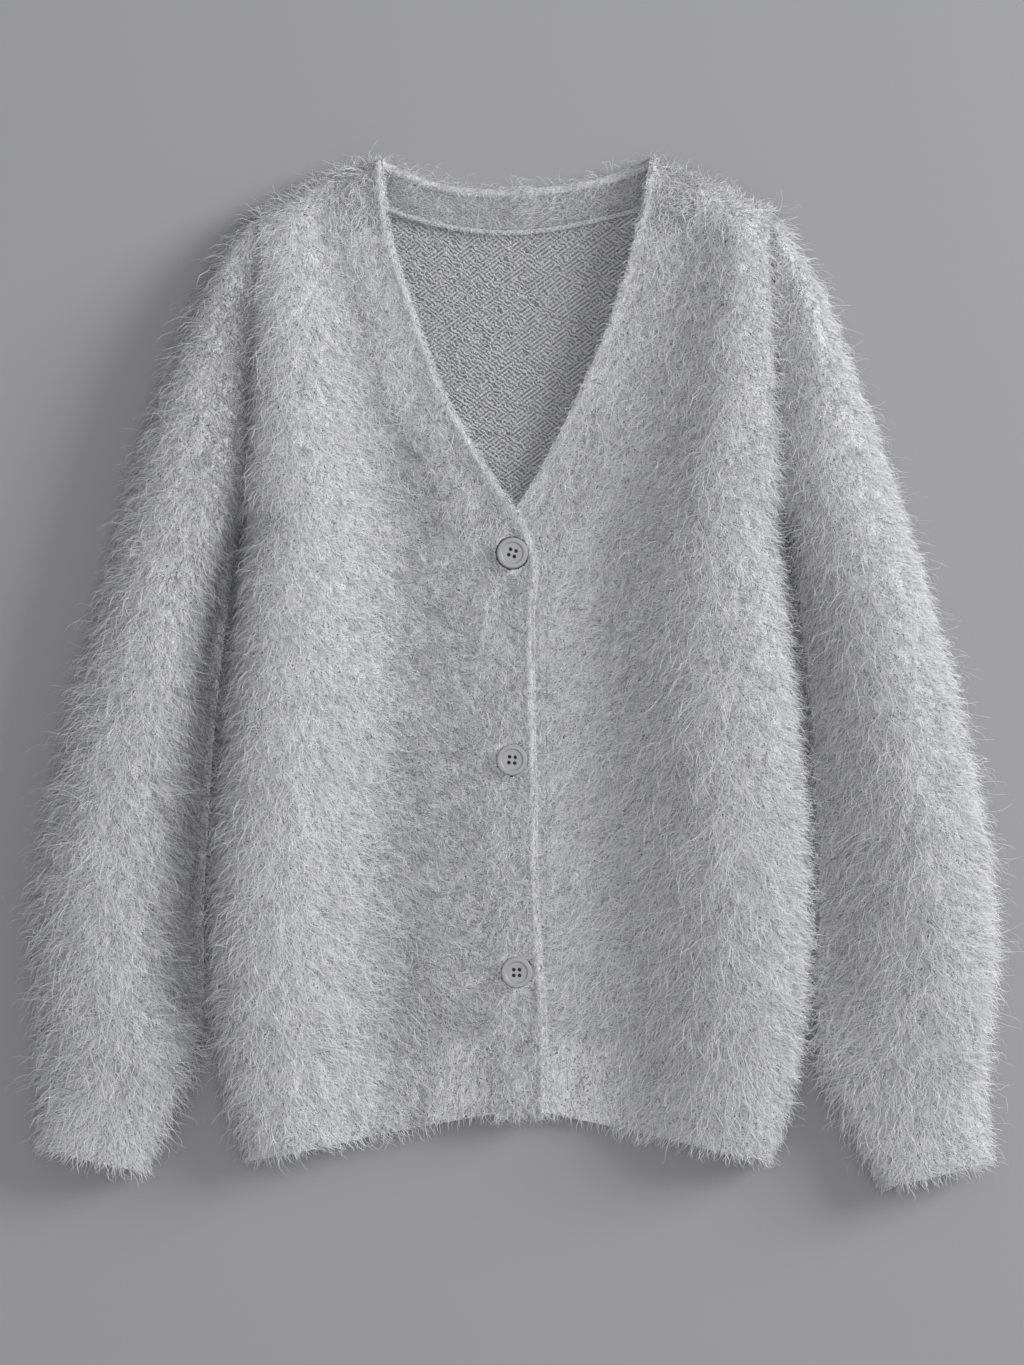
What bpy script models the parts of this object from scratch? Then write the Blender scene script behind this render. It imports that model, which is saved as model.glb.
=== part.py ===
"""A long-haired, V-necked button cardigan, laid out flat on its back.

Every piece of cloth is its own closed wall, 0.3 mm from the next at the seams:
the back, two fronts, two sleeves, the ribbed hems and cuffs, and two front bands
that run from the hem, up the V and round the neck to the centre back.
A wall is the knitted ground with the dense pile that stands on it.

Tables and sizes are in millimetres. +X is the wearer's left, +Y runs from hem to
neck, and +Z is up from the surface that the cardigan lies on.
"""

from collections import namedtuple
from math import cos, hypot, pi, radians, sin, sqrt

import bmesh
import bpy
from mathutils import Vector

MM = 0.001
GAP = 0.3  # between two pieces at a seam
UP = Vector((0, 0, 1))

# ---------------------------------------------------------------- cloth sizes
WALL = 6.0  # knitted ground and the dense pile on it
BAND_WALL = 5.0  # folded band, with a shorter pile
BAND_LIFT = 0.9  # the over band clears the left front by this much
UNDER_TOP = WALL + GAP + WALL  # the left front, where it lies on the back
UNDER_BAND = WALL + GAP + BAND_WALL  # the left band's edge, where it lies on the back
OVER_TOP = UNDER_TOP + BAND_LIFT + BAND_WALL  # the right band, over the left one

SIDE_Z = 10.5  # height of the side, shoulder and sleeve folds above the floor
HEM_SIDE_Z = 8.5  # the side seam drops to this at the hem
HEM_SIDE_RISE = 60.0  # over this height of the hem
VALLEY_Z = 27.0  # top of the armhole seam, between sleeve and body
FRONT_ROLL = 26.0  # how far in from the side the front is still rounding over
BACK_ROLL = 14.0
SHOULDER_ROLL = 17.0
ARMHOLE_ROLL = 24.0

UNDERARM_Y = 96.0
SHOULDER_Y = 296.0

# The side lines of the body, from hem to underarm. The armholes go on straight.
Side = namedtuple("Side", "y right left")
SIDES = [
    Side(-314, -175.0, 166.5),
    Side(-285, -185.0, 176.0),
    Side(-255, -189.5, 181.5),
    Side(-215, -193.0, 186.5),
    Side(-165, -194.0, 189.0),
    Side(-105, -191.0, 188.0),
    Side(-30, -184.5, 183.0),
    Side(50, -177.5, 176.0),
    Side(UNDERARM_Y, -172.0, 171.5),
]
SHOULDERS = ((-164.5, SHOULDER_Y), (162.5, SHOULDER_Y))  # shoulder seam, outer ends
NECKS = ((-117.0, 321.0), (118.0, 317.0))  # shoulder seam, at the band
NECK_EDGES = ((-85.5, 331.0), (86.5, 331.0))  # the band's free edge on the same fold

# A row is one straight line across a front, from the side line to the band seam.
# It climbs to its crown, falls to low at reach, and climbs again to the seam.
# The first two rows are the hem, and the last lies on the shoulder seam.
Front = namedtuple("Front", "side_y seam_x seam_y seam_z low crown crest reach")
RIGHT_FRONT = [
    Front(-314, -15.5, -283.0, OVER_TOP, 12.6, 27, 40, 100),
    Front(-285, -15.0, -252.0, OVER_TOP, 12.6, 35, 40, 106),
    Front(-255, -15.0, -222.0, OVER_TOP, 12.6, 39, 42, 110),
    Front(-165, -18.5, -150.0, OVER_TOP, 12.8, 44, 44, 112),
    Front(-105, -19.5, -92.0, OVER_TOP, 13.0, 46, 44, 114),
    Front(-30, -22.0, -25.0, OVER_TOP, 13.4, 46, 42, 116),
    Front(50, -22.5, 42.0, OVER_TOP, 14.0, 45, 38, 112),
    Front(73, -25.2, 64.0, OVER_TOP, 14.5, 44.5, 36.5, 108),
    Front(UNDERARM_Y, -29.0, 84.0, OVER_TOP, 15.0, 44, 35, 104),
    Front(130, -45.0, 108.0, 18.0, 16.5, 43, 33, 92),
    Front(165, -63.0, 140.0, 19.0, 18.5, 42, 31, 84),
    Front(200, -80.0, 172.0, 20.5, 20.5, 41, 29, 76),
    Front(235, -98.5, 226.0, 22.5, 22.5, 39, 27, 62),
    Front(268, -112.0, 272.0, 24.0, 24.0, 36, 24, 50),
    Front(SHOULDER_Y, *NECKS[0], 25.0, 25.0, 32, 20, 46),
]
LEFT_FRONT = [
    Front(-314, 20.3, -283.0, UNDER_TOP, UNDER_TOP, 27, 44, 96),
    Front(-285, 20.0, -252.0, UNDER_TOP, UNDER_TOP, 35, 48, 104),
    Front(-255, 20.0, -222.0, UNDER_TOP, UNDER_TOP, 39, 52, 110),
    Front(-165, 20.0, -150.0, UNDER_TOP, UNDER_TOP, 44, 57, 118),
    Front(-105, 20.0, -92.0, UNDER_TOP, UNDER_TOP, 46, 58, 122),
    Front(-30, 20.0, -25.0, UNDER_TOP, UNDER_TOP, 46, 56, 124),
    Front(50, 20.6, 42.0, UNDER_TOP, UNDER_TOP, 45, 50, 118),
    Front(73, 24.7, 65.5, UNDER_TOP, UNDER_TOP, 44.5, 47.3, 112.5),
    Front(UNDERARM_Y, 30.5, 88.0, UNDER_TOP, UNDER_TOP, 44, 44, 106),
    Front(130, 44.0, 110.0, 14.0, 14.0, 43, 40, 94),
    Front(165, 60.0, 138.0, 16.5, 16.5, 42, 36, 84),
    Front(200, 76.0, 172.0, 19.0, 19.0, 41, 32, 74),
    Front(235, 95.0, 219.0, 22.0, 22.0, 39, 28, 62),
    Front(268, 109.5, 265.0, 24.0, 24.0, 36, 24, 50),
    Front(SHOULDER_Y, *NECKS[1], 25.0, 25.0, 32, 20, 46),
]
FRONTS = (RIGHT_FRONT, LEFT_FRONT)
HEM_ROW = 2
UNDERARM_ROW = 8
SHOULDER_ROW = len(RIGHT_FRONT) - 1
HEM_END = HEM_ROW - 0.012  # the hem stops short of its seam by the gap

# The free edge of each band, one row for each row of the front beside it.
Edge = namedtuple("Edge", "x y z")
RIGHT_EDGE = [
    Edge(19.6, -283.0, OVER_TOP),
    Edge(20.4, -252.0, OVER_TOP),
    Edge(19.8, -222.0, OVER_TOP),
    Edge(14.6, -150.0, OVER_TOP),
    Edge(14.0, -92.0, OVER_TOP),
    Edge(12.4, -25.0, OVER_TOP),
    Edge(11.8, 40.0, OVER_TOP),
    Edge(14.6, 72.0, OVER_TOP),
    Edge(5.0, 98.2, OVER_TOP),
    Edge(-14.0, 125.0, 17.6),
    Edge(-32.2, 155.8, 18.2),
    Edge(-48.0, 185.0, 19.2),
    Edge(-66.0, 237.0, 20.5),
    Edge(-80.0, 281.0, 21.8),
    Edge(*NECK_EDGES[0], 22.5),
]
LEFT_EDGE = [
    Edge(-12.0, -283.0, UNDER_BAND),
    Edge(-12.0, -252.0, UNDER_BAND),
    Edge(-12.0, -222.0, UNDER_BAND),
    Edge(-14.0, -150.0, UNDER_BAND),
    Edge(-14.4, -92.0, UNDER_BAND),
    Edge(-14.4, -25.0, UNDER_BAND),
    Edge(-13.6, 46.0, UNDER_BAND),
    Edge(-10.1, 72.0, UNDER_BAND),
    Edge(-5.0, 97.0, UNDER_BAND),
    Edge(9.0, 119.0, 11.8),
    Edge(25.5, 148.0, 15.0),
    Edge(43.0, 184.0, 18.0),
    Edge(61.5, 228.0, 20.3),
    Edge(77.0, 281.0, 21.8),
    Edge(*NECK_EDGES[1], 22.5),
]
EDGES = (RIGHT_EDGE, LEFT_EDGE)

# The bands go on round the back of the neck, from the fold to the centre back.
Neck = namedtuple("Neck", "seam_x seam_y edge_x edge_y")
RIGHT_NECKLINE = [
    Neck(*NECKS[0], *NECK_EDGES[0]),
    Neck(-104.0, 310.0, -73.0, 324.0),
    Neck(-93.0, 303.4, -62.0, 319.3),
    Neck(-79.0, 297.6, -51.0, 315.8),
    Neck(-60.0, 292.0, -38.0, 313.0),
    Neck(-40.0, 288.0, -25.0, 311.8),
    Neck(-18.0, 285.3, -11.0, 311.4),
    Neck(3.5, 284.9, 3.5, 311.6),
]
LEFT_NECKLINE = [
    Neck(*NECKS[1], *NECK_EDGES[1]),
    Neck(107.0, 309.8, 74.5, 325.2),
    Neck(97.0, 306.0, 63.5, 321.2),
    Neck(83.0, 301.4, 53.0, 318.7),
    Neck(66.0, 296.4, 42.0, 316.5),
    Neck(46.0, 291.5, 30.0, 314.6),
    Neck(25.0, 287.4, 17.0, 312.8),
    Neck(3.5, 284.9, 3.5, 311.6),
]
NECKLINES = (RIGHT_NECKLINE, LEFT_NECKLINE)
CENTRE_BACK = 3.5

# A row is one straight line across a sleeve, from its outer fold to its inner one. Beside the
# body the sleeve climbs slowly, by its share of lean, from a low step at its inner fold.
Sleeve = namedtuple("Sleeve", "outer_x outer_y inner_x inner_y height outer_roll inner_roll lean")
RIGHT_SLEEVE = [
    Sleeve(-164.8, SHOULDER_Y, -172.3, UNDERARM_Y, VALLEY_Z, SHOULDER_ROLL, FRONT_ROLL, 0),
    Sleeve(-184, 281, -176.5, 84, 36, 26, 28, 0.25),
    Sleeve(-205, 245, -179.5, 64, 41, 38, 32, 0.5),
    Sleeve(-223, 196, -182.5, 34, 44, 44, 36, 0.8),
    Sleeve(-242, 144, -187.0, -2, 46, 46, 38, 1),
    Sleeve(-262, 63, -191.5, -52, 47, 46, 40, 1),
    Sleeve(-284, -18, -195.0, -102, 47, 46, 40, 1),
    Sleeve(-302.5, -106, -197.0, -152, 46, 46, 40, 1),
    Sleeve(-310, -166, -196.8, -197, 44, 44, 38, 1),
    Sleeve(-306, -212, -198.0, -233, 41, 42, 36, 0.7),
    Sleeve(-303.8, -246, -209.5, -262, 36, 38, 34, 0.35),
    Sleeve(-305.5, -275, -220.0, -290, 33, 34, 30, 0.15),
    Sleeve(-309.5, -303, -234.0, -321, 30, 30, 28, 0.1),
]
LEFT_SLEEVE = [
    Sleeve(162.8, SHOULDER_Y, 171.8, UNDERARM_Y, VALLEY_Z, SHOULDER_ROLL, FRONT_ROLL, 0),
    Sleeve(182, 276, 176.0, 84, 36, 26, 28, 0.25),
    Sleeve(202, 235, 178.5, 64, 41, 38, 32, 0.5),
    Sleeve(219, 189, 181.0, 34, 44, 44, 36, 0.8),
    Sleeve(238, 139, 185.5, -2, 46, 46, 38, 1),
    Sleeve(260, 71, 189.5, -52, 47, 46, 40, 1),
    Sleeve(282, -8, 191.8, -102, 47, 46, 40, 1),
    Sleeve(301, -94, 192.5, -152, 46, 46, 40, 1),
    Sleeve(310, -170, 190.5, -197, 44, 44, 38, 1),
    Sleeve(304.5, -218, 190.0, -236, 41, 42, 36, 0.7),
    Sleeve(302, -252, 199.0, -263, 36, 38, 34, 0.35),
    Sleeve(304.5, -281, 212.5, -295, 33, 34, 30, 0.15),
    Sleeve(307.5, -313, 231.0, -331, 30, 30, 28, 0.1),
]
SLEEVES = (RIGHT_SLEEVE, LEFT_SLEEVE)
CUFF_ROW = 10
CUFF_START = CUFF_ROW + 0.012
CUFF_END = len(RIGHT_SLEEVE) - 1
SLEEVE_BOTTOM_ROLL = BACK_ROLL
STEP_SHARE, STEP_ROLL = 0.16, 8.0  # the low step at a leaning sleeve's inner fold
LEAN_REACH = 80.0  # and how far in from there it reaches its full height

# Buttons, centred on the over band
BUTTON_DIAMETER = 20.0
BUTTON_THICK = 3.4
BUTTON_HOLE = 2.2
BUTTON_HOLE_PITCH = 3.7  # side of the square of four holes
Button = namedtuple("Button", "x y turn")
BUTTONS = [Button(-2.0, 76.5, 18), Button(-2.2, -56.0, 6), Button(0.7, -192.0, 0)]

# ---------------------------------------------------------------- mesh density
FRONT_COLUMNS = 10
SIDE_COLUMNS = (0, 1, 5, 14)  # of the back, in from each side
HEM_STEPS = 3
UNDERARM_STEPS = (0.04, 0.16, 0.5)  # extra rows just above the underarm
FOLD_STEPS = (0.05, 0.2, 0.5)  # extra rows on each side of the shoulder fold
SLEEVE_COLUMNS, SLEEVE_ROWS = 20, 16
CUFF_STEPS = 3
BAND_COLUMNS = 3
BUTTON_STEPS = 24
DRILL_STEPS = 8

GREY = (0.46, 0.46, 0.48, 1.0)
BUTTON_GREY = (0.33, 0.33, 0.345, 1.0)
RIGHT, LEFT = 0, 1


# ---------------------------------------------------------------- small helpers
def clamp(x, low=0.0, high=1.0):
    return max(low, min(high, x))


def mix(a, b, share):
    return a + (b - a) * share


def smoothstep(x):
    x = clamp(x)
    return x * x * (3 - 2 * x)


def roll(x):
    """A quarter ellipse: 0 at an edge, upright there, and 1 from x = 1 on."""
    return sqrt(1 - (1 - clamp(x)) ** 2)


def spread(first, last, count):
    """Evenly spaced values, both ends included."""
    return [mix(first, last, k / count) for k in range(count + 1)]


def along(table, t):
    """The table's row at t, where 0 is the first row, on a smooth curve."""
    last = len(table) - 1
    i = min(int(clamp(t, 0, last)), last - 1)
    s = clamp(t, 0, last) - i
    rows = [table[clamp(k, 0, last)] for k in (i - 1, i, i + 1, i + 2)]
    return type(table[0])(
        *(
            b + 0.5 * s * (c - a + s * (2 * a - 5 * b + 4 * c - d + s * (3 * (b - c) + d - a)))
            for a, b, c, d in zip(*rows)
        )
    )


def straight_along(table, t):
    """The table's row at t, on straight lines between rows."""
    i = min(int(t), len(table) - 2)
    return type(table[0])(*(mix(a, b, t - i) for a, b in zip(table[i], table[i + 1])))


def plan_normal(start, end):
    """The level unit vector square to a line in plan."""
    return Vector((end[1] - start[1], start[0] - end[0], 0)).normalized()


# ---------------------------------------------------------------- seam lines
def side_x(y, hand):
    """The side line's x at height y, and the armhole's above the underarm."""
    if y >= UNDERARM_Y:
        share = (y - UNDERARM_Y) / (SHOULDER_Y - UNDERARM_Y)
        return mix(SIDES[-1][1 + hand], SHOULDERS[hand][0], share)
    k = next(k for k in range(len(SIDES) - 1) if y < SIDES[k + 1].y)
    return along(SIDES, k + (y - SIDES[k].y) / (SIDES[k + 1].y - SIDES[k].y))[1 + hand]


def side_height(y):
    """Height of the side seam, which comes down towards the hem."""
    return mix(HEM_SIDE_Z, SIDE_Z, smoothstep((y - SIDES[0].y) / HEM_SIDE_RISE))


def from_segment(x, y, start, end):
    """Distance in plan from a point to a straight seam."""
    run = (end[0] - start[0], end[1] - start[1])
    reach = (x - start[0]) * run[0] + (y - start[1]) * run[1]
    share = clamp(reach / (run[0] ** 2 + run[1] ** 2))
    return hypot(x - start[0] - run[0] * share, y - start[1] - run[1] * share)


def from_fold(x, y, hand):
    """Distance in plan to the fold over the shoulder and across the band."""
    return min(
        from_segment(x, y, SHOULDERS[hand], NECKS[hand]),
        from_segment(x, y, NECKS[hand], NECK_EDGES[hand]),
    )


def neck_y(x):
    """The seam under the back of the neckband, in plan."""
    hand = RIGHT if x < CENTRE_BACK else LEFT
    rungs = NECKLINES[hand]
    for a, b in zip(rungs, rungs[1:]):
        if min(a.seam_x, b.seam_x) <= x <= max(a.seam_x, b.seam_x):
            return mix(a.seam_y, b.seam_y, (x - a.seam_x) / (b.seam_x - a.seam_x))
    return NECKS[hand][1]


def neck_plane(x):
    """The upright plane through that seam at x, as its normal."""
    low, high = max(x - 1, NECKS[RIGHT][0]), min(x + 1, NECKS[LEFT][0])
    return plan_normal((low, neck_y(low)), (high, neck_y(high)))


def band_plane(t, hand):
    """The upright plane through the seam of band and front at row t."""
    a, b = along(FRONTS[hand], t - 0.02), along(FRONTS[hand], t + 0.02)
    return plan_normal((a.seam_x, a.seam_y), (b.seam_x, b.seam_y))


def armhole_plane(hand):
    return plan_normal((SIDES[-1][1 + hand], UNDERARM_Y), SHOULDERS[hand])


# ---------------------------------------------------------------- outer faces
def front_point(u, t, hand):
    """A front: u runs from the side line to the band seam, t up the table."""
    row = along(FRONTS[hand], t)
    start = side_x(row.side_y, hand)
    span = hypot(row.seam_x - start, row.seam_y - row.side_y)
    share = 1 - cos(u * pi / 2)
    x, y = mix(start, row.seam_x, share), mix(row.side_y, row.seam_y, share)
    inward = share * span
    reach = min(row.reach, span)
    fall = smoothstep((inward - row.crest) / (reach - row.crest))
    rise = smoothstep((inward - reach) / max(span - reach, 1.0))
    top = mix(row.crown, row.low, fall) + (row.seam_z - row.low) * rise
    from_armhole = hypot(inward, max(0.0, UNDERARM_Y - row.side_y))
    top = mix(min(VALLEY_Z, top), top, roll(from_armhole / ARMHOLE_ROLL))
    from_side = hypot(inward, max(0.0, row.side_y - UNDERARM_Y))
    rounding = roll(from_side / FRONT_ROLL) * roll(from_fold(x, y, hand) / SHOULDER_ROLL)
    return x, y, mix(side_height(row.side_y), top, rounding)


def back_point(u, t, low_row, high_row):
    """The back: u runs from right to left. It lies on the floor, and its sides rise."""
    side_y, low_y, high_y = (along(RIGHT_FRONT, row).side_y for row in (t, low_row, high_row))
    share = (side_y - low_y) / (high_y - low_y)
    start, end = side_x(side_y, RIGHT), side_x(side_y, LEFT)
    x, y = mix(start, end, u), mix(back_edge(u, low_row), back_edge(u, high_row), share)
    return x, y, back_height(x, y, min(u, 1 - u) * (end - start), side_y)


def back_edge(u, row):
    """The line across the back, in plan, that faces one row of both fronts."""
    right, left = along(RIGHT_FRONT, row), along(LEFT_FRONT, row)
    start, end = side_x(right.side_y, RIGHT), side_x(left.side_y, LEFT)
    x = mix(start, end, u)
    if x < right.seam_x:
        return mix(right.side_y, right.seam_y, (x - start) / (right.seam_x - start))
    if x > left.seam_x:
        return mix(left.side_y, left.seam_y, (x - end) / (left.seam_x - end))
    return neck_y(x) - 1.5 * GAP if row == SHOULDER_ROW else right.seam_y


def back_height(x, y, inward, side_y):
    """The underside's height: nothing, but for its rise to the seams around it."""
    from_side = hypot(inward, max(0.0, side_y - UNDERARM_Y))
    near_fold = min(from_fold(x, y, RIGHT), from_fold(x, y, LEFT))
    rise = side_height(side_y) * (1 - roll(from_side / BACK_ROLL) * roll(near_fold / BACK_ROLL))
    return max(0.0, rise - GAP)


def sleeve_point(u, t, hand):
    """A sleeve: u runs from the inner fold over the top and back underneath."""
    row = along(SLEEVES[hand], t)
    turn = 2 * pi * u
    share = 0.5 - 0.5 * cos(turn)
    x, y = mix(row.inner_x, row.outer_x, share), mix(row.inner_y, row.outer_y, share)
    width = hypot(row.outer_x - row.inner_x, row.outer_y - row.inner_y)
    from_inner, from_outer = share * width, (1 - share) * width
    if sin(turn) >= 0:
        slow = mix(smoothstep(from_inner / LEAN_REACH), roll(from_inner / STEP_ROLL), STEP_SHARE)
        inner = mix(roll(from_inner / row.inner_roll), slow, row.lean)
        rounding = inner * roll(from_outer / row.outer_roll)
        return x, y, mix(SIDE_Z, row.height, rounding)
    rounding = roll(min(from_inner, from_outer) / SLEEVE_BOTTOM_ROLL)
    return x, y, SIDE_Z * (1 - rounding)


def band_point(u, t, hand):
    """A band: u runs from its seam to its free edge, t from the hem to the back."""
    if t <= SHOULDER_ROW:
        row, edge = along(FRONTS[hand], t), along(EDGES[hand], t)
        seam, free = (row.seam_x, row.seam_y), (edge.x, edge.y)
    else:
        rung = straight_along(NECKLINES[hand], t - SHOULDER_ROW)
        seam, free = rung[:2], rung[2:]
    inset = GAP / hypot(free[0] - seam[0], free[1] - seam[1])
    share = mix(inset, 1, u)
    x, y = mix(seam[0], free[0], share), mix(seam[1], free[1], share)
    off_fold = from_fold(x, y, hand)
    if t > SHOULDER_ROW:
        return x, y, SIDE_Z * (1 - roll(off_fold / BACK_ROLL))
    top = mix(row.seam_z, edge.z, u * u)
    return x, y, mix(SIDE_Z, top, roll(off_fold / SHOULDER_ROLL))


# ---------------------------------------------------------------- seam planes
# A wall's rim lies in its seam's plane, so that two rims face each other squarely.
def front_planes(u, t, hand):
    planes = [UP] if t == SHOULDER_ROW else []
    if u == 0:
        planes.append(UP if t <= UNDERARM_ROW else armhole_plane(hand))
    elif u == 1:
        planes.append(band_plane(t, hand))
    return planes


def back_planes(u, t):
    x = mix(SHOULDERS[RIGHT][0], SHOULDERS[LEFT][0], u)
    in_neck = NECKS[RIGHT][0] - GAP <= x <= NECKS[LEFT][0] + GAP
    planes = []
    if t == SHOULDER_ROW:
        planes = [neck_plane(x)] if in_neck else [UP]
    if u in (0, 1):
        planes.append(UP if t <= UNDERARM_ROW else armhole_plane(RIGHT if u == 0 else LEFT))
    return planes


def sleeve_planes(u, t, hand):
    row = along(SLEEVES[hand], t)
    return [plan_normal((row.inner_x, row.inner_y), (row.outer_x, row.outer_y))]


def band_planes(u, t, hand):
    if u > 0:
        return []
    if t < SHOULDER_ROW:
        return [band_plane(t, hand)]
    return [neck_plane(straight_along(NECKLINES[hand], t - SHOULDER_ROW).seam_x)]


# ---------------------------------------------------------------- building
def outward(point, planes, u, t, facing, tube):
    """The unit normal of a surface at (u, t), turned into its seams' planes."""
    step = 0.002
    low_u, high_u = (u - step, u + step) if tube else (clamp(u - step), clamp(u + step))
    across = Vector([b - a for a, b in zip(point(low_u, t), point(high_u, t))])
    run = Vector([b - a for a, b in zip(point(u, t - step), point(u, t + step))])
    normal = across.cross(run) * facing
    for plane in planes(u, t):
        normal -= normal.dot(plane) * plane
    return normal.normalized()


def cloth(name, us, ts, point, planes, wall, facing, material, tube=False):
    """A closed wall of cloth whose outer face runs through point(u, t).

    us and ts are its columns and rows, and planes(u, t) gives the seam planes that
    its rim lies in. facing is -1 where across x run would point into the garment.
    """
    columns, rows = len(us) - 1, len(ts) - 1
    bm = bmesh.new()
    column_of = bm.verts.layers.int.new("column")
    row_of = bm.verts.layers.int.new("row")
    bmesh.ops.create_grid(bm, x_segments=columns, y_segments=rows, size=0.5)
    for vert in bm.verts:
        vert[column_of] = round((vert.co.x + 0.5) * columns)
        vert[row_of] = round((vert.co.y + 0.5) * rows)
        if tube:
            turn = 2 * pi * vert[column_of] / columns
            vert.co = (cos(turn), sin(turn), vert[row_of])
    if tube:
        bmesh.ops.remove_doubles(bm, verts=bm.verts[:], dist=1e-4)
    inner = set(bm.verts)
    bmesh.ops.extrude_face_region(bm, geom=bm.faces[:], use_keep_orig=True)
    for vert in bm.verts:
        u, t = us[vert[column_of]], ts[vert[row_of]]
        vert_wall = wall if vert in inner else 0.0
        normal = outward(point, planes, u, t, facing, tube)
        vert.co = (Vector(point(u, t)) - normal * vert_wall) * MM
    bmesh.ops.recalc_face_normals(bm, faces=bm.faces[:])
    if bm.calc_volume(signed=True) < 0:
        bmesh.ops.reverse_faces(bm, faces=bm.faces[:])
    mesh = bpy.data.meshes.new(name)
    bm.to_mesh(mesh)
    bm.free()
    mesh.shade_smooth()
    mesh.set_sharp_from_angle(angle=radians(50))
    mesh.materials.append(material)
    cardigan.objects.link(bpy.data.objects.new(name, mesh))


def body_rows(step):
    """Rows from the hem's seam to the shoulder, closer at the underarm and the fold."""
    rows = {HEM_ROW + k * step for k in range(int((SHOULDER_ROW - HEM_ROW) / step) + 1)}
    rows |= {UNDERARM_ROW + extra for extra in UNDERARM_STEPS}
    rows |= {SHOULDER_ROW - extra for extra in FOLD_STEPS}
    return sorted(rows)


def back_columns():
    """Columns of the back, which meet the band's own steps along the neck seam."""
    left_end, right_end = SHOULDERS[LEFT][0], SHOULDERS[RIGHT][0]
    xs = {right_end + inset for inset in SIDE_COLUMNS} | {left_end - inset for inset in SIDE_COLUMNS}
    for hand in (RIGHT, LEFT):
        xs |= {straight_along(NECKLINES[hand], t).seam_x for t in neck_steps()}
    return [(x - right_end) / (left_end - right_end) for x in sorted(xs)]


def neck_steps():
    """Steps of a band round the back of the neck, closer at the fold."""
    return [0, *FOLD_STEPS, *range(1, len(RIGHT_NECKLINE))]


def build_front(side, hand):
    """One front and its ribbed hem, which run on in one surface."""
    us = spread(0, 1, FRONT_COLUMNS)
    facing = -1 if hand == LEFT else 1
    for name, ts in (("front", body_rows(0.5)), ("hem_front", spread(0, HEM_END, HEM_STEPS))):
        cloth(
            f"{name}_{side}", us, ts, lambda u, t: front_point(u, t, hand),
            lambda u, t: front_planes(u, t, hand), WALL, facing, pile,
        )


def build_back():
    """The back and its ribbed hem."""
    us = back_columns()
    for name, ts, low_row, high_row in (
        ("back", body_rows(1), HEM_ROW, SHOULDER_ROW),
        ("hem_back", spread(0, HEM_END, HEM_STEPS), 0, HEM_ROW),
    ):
        cloth(
            name, us, ts, lambda u, t: back_point(u, t, low_row, high_row),
            back_planes, WALL, -1, pile,
        )


def build_sleeve(side, hand):
    """One sleeve, armhole to cuff, and its ribbed cuff. Each is an open tube."""
    us = spread(0, 1, SLEEVE_COLUMNS)
    facing = -1 if hand == LEFT else 1
    for name, ts in (
        ("sleeve", spread(0, CUFF_ROW, SLEEVE_ROWS)),
        ("cuff", spread(CUFF_START, CUFF_END, CUFF_STEPS)),
    ):
        cloth(
            f"{name}_{side}", us, ts, lambda u, t: sleeve_point(u, t, hand),
            lambda u, t: sleeve_planes(u, t, hand), WALL, facing, pile, tube=True,
        )


def build_band(side, hand):
    """One front band, from the hem to the centre back, folded over the shoulder."""
    rows = spread(0, HEM_END, HEM_STEPS)[:-1] + body_rows(0.5)
    rows += [SHOULDER_ROW + step for step in neck_steps()[1:]]
    cloth(
        f"band_{side}", spread(0, 1, BAND_COLUMNS), rows, lambda u, t: band_point(u, t, hand),
        lambda u, t: band_planes(u, t, hand), BAND_WALL, -1 if hand == LEFT else 1, short_pile,
    )


def button_mesh():
    """A turned disc with a raised rim, a dished middle and four sewing holes."""
    radius = BUTTON_DIAMETER / 2
    # (radius, height) down the outer side from the top, in millimetres
    profile = [
        (0.0, 2.3), (4.8, 2.3), (6.6, 3.0), (8.2, BUTTON_THICK),
        (9.4, 3.1), (radius, 2.2), (9.7, 1.0), (7.5, 0.0), (0.0, 0.0),
    ]
    mesh = bpy.data.meshes.new("button_profile")
    points = [(r * MM, 0, z * MM) for r, z in profile]
    mesh.from_pydata(points, [(k, k + 1) for k in range(len(points) - 1)], [])
    disc = bpy.data.objects.new("button_disc", mesh)
    helpers.objects.link(disc)
    screw = disc.modifiers.new("turn", "SCREW")
    screw.steps = screw.render_steps = BUTTON_STEPS
    screw.use_merge_vertices = True
    screw.merge_threshold = 0.00005
    screw.use_normal_calculate = True
    bm = bmesh.new()
    out = BUTTON_HOLE_PITCH / sqrt(2) * MM
    for k in range(4):
        turn = pi / 4 + k * pi / 2
        drill = bmesh.ops.create_cone(
            bm, cap_ends=True, segments=DRILL_STEPS, radius1=BUTTON_HOLE / 2 * MM,
            radius2=BUTTON_HOLE / 2 * MM, depth=4 * BUTTON_THICK * MM,
        )
        bmesh.ops.translate(bm, verts=drill["verts"], vec=(out * cos(turn), out * sin(turn), 0))
    drills = bpy.data.objects.new("button_drills", bpy.data.meshes.new("button_drills"))
    bm.to_mesh(drills.data)
    bm.free()
    helpers.objects.link(drills)
    cut = disc.modifiers.new("holes", "BOOLEAN")
    cut.object = drills
    bpy.context.view_layer.update()
    made = bpy.data.meshes.new_from_object(
        disc.evaluated_get(bpy.context.evaluated_depsgraph_get())
    )
    for helper in (disc, drills):
        bpy.data.objects.remove(helper)
    made.shade_smooth()
    made.set_sharp_from_angle(angle=radians(35))
    made.materials.append(resin)
    return made


def build_buttons():
    """Three buttons on the over band, each turned a little its own way."""
    mesh = button_mesh()
    for number, button in enumerate(BUTTONS, 1):
        obj = bpy.data.objects.new(f"button_{number}", mesh)
        obj.location = (button.x * MM, button.y * MM, (OVER_TOP + GAP) * MM)
        obj.rotation_euler.z = -radians(button.turn)
        cardigan.objects.link(obj)


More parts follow.
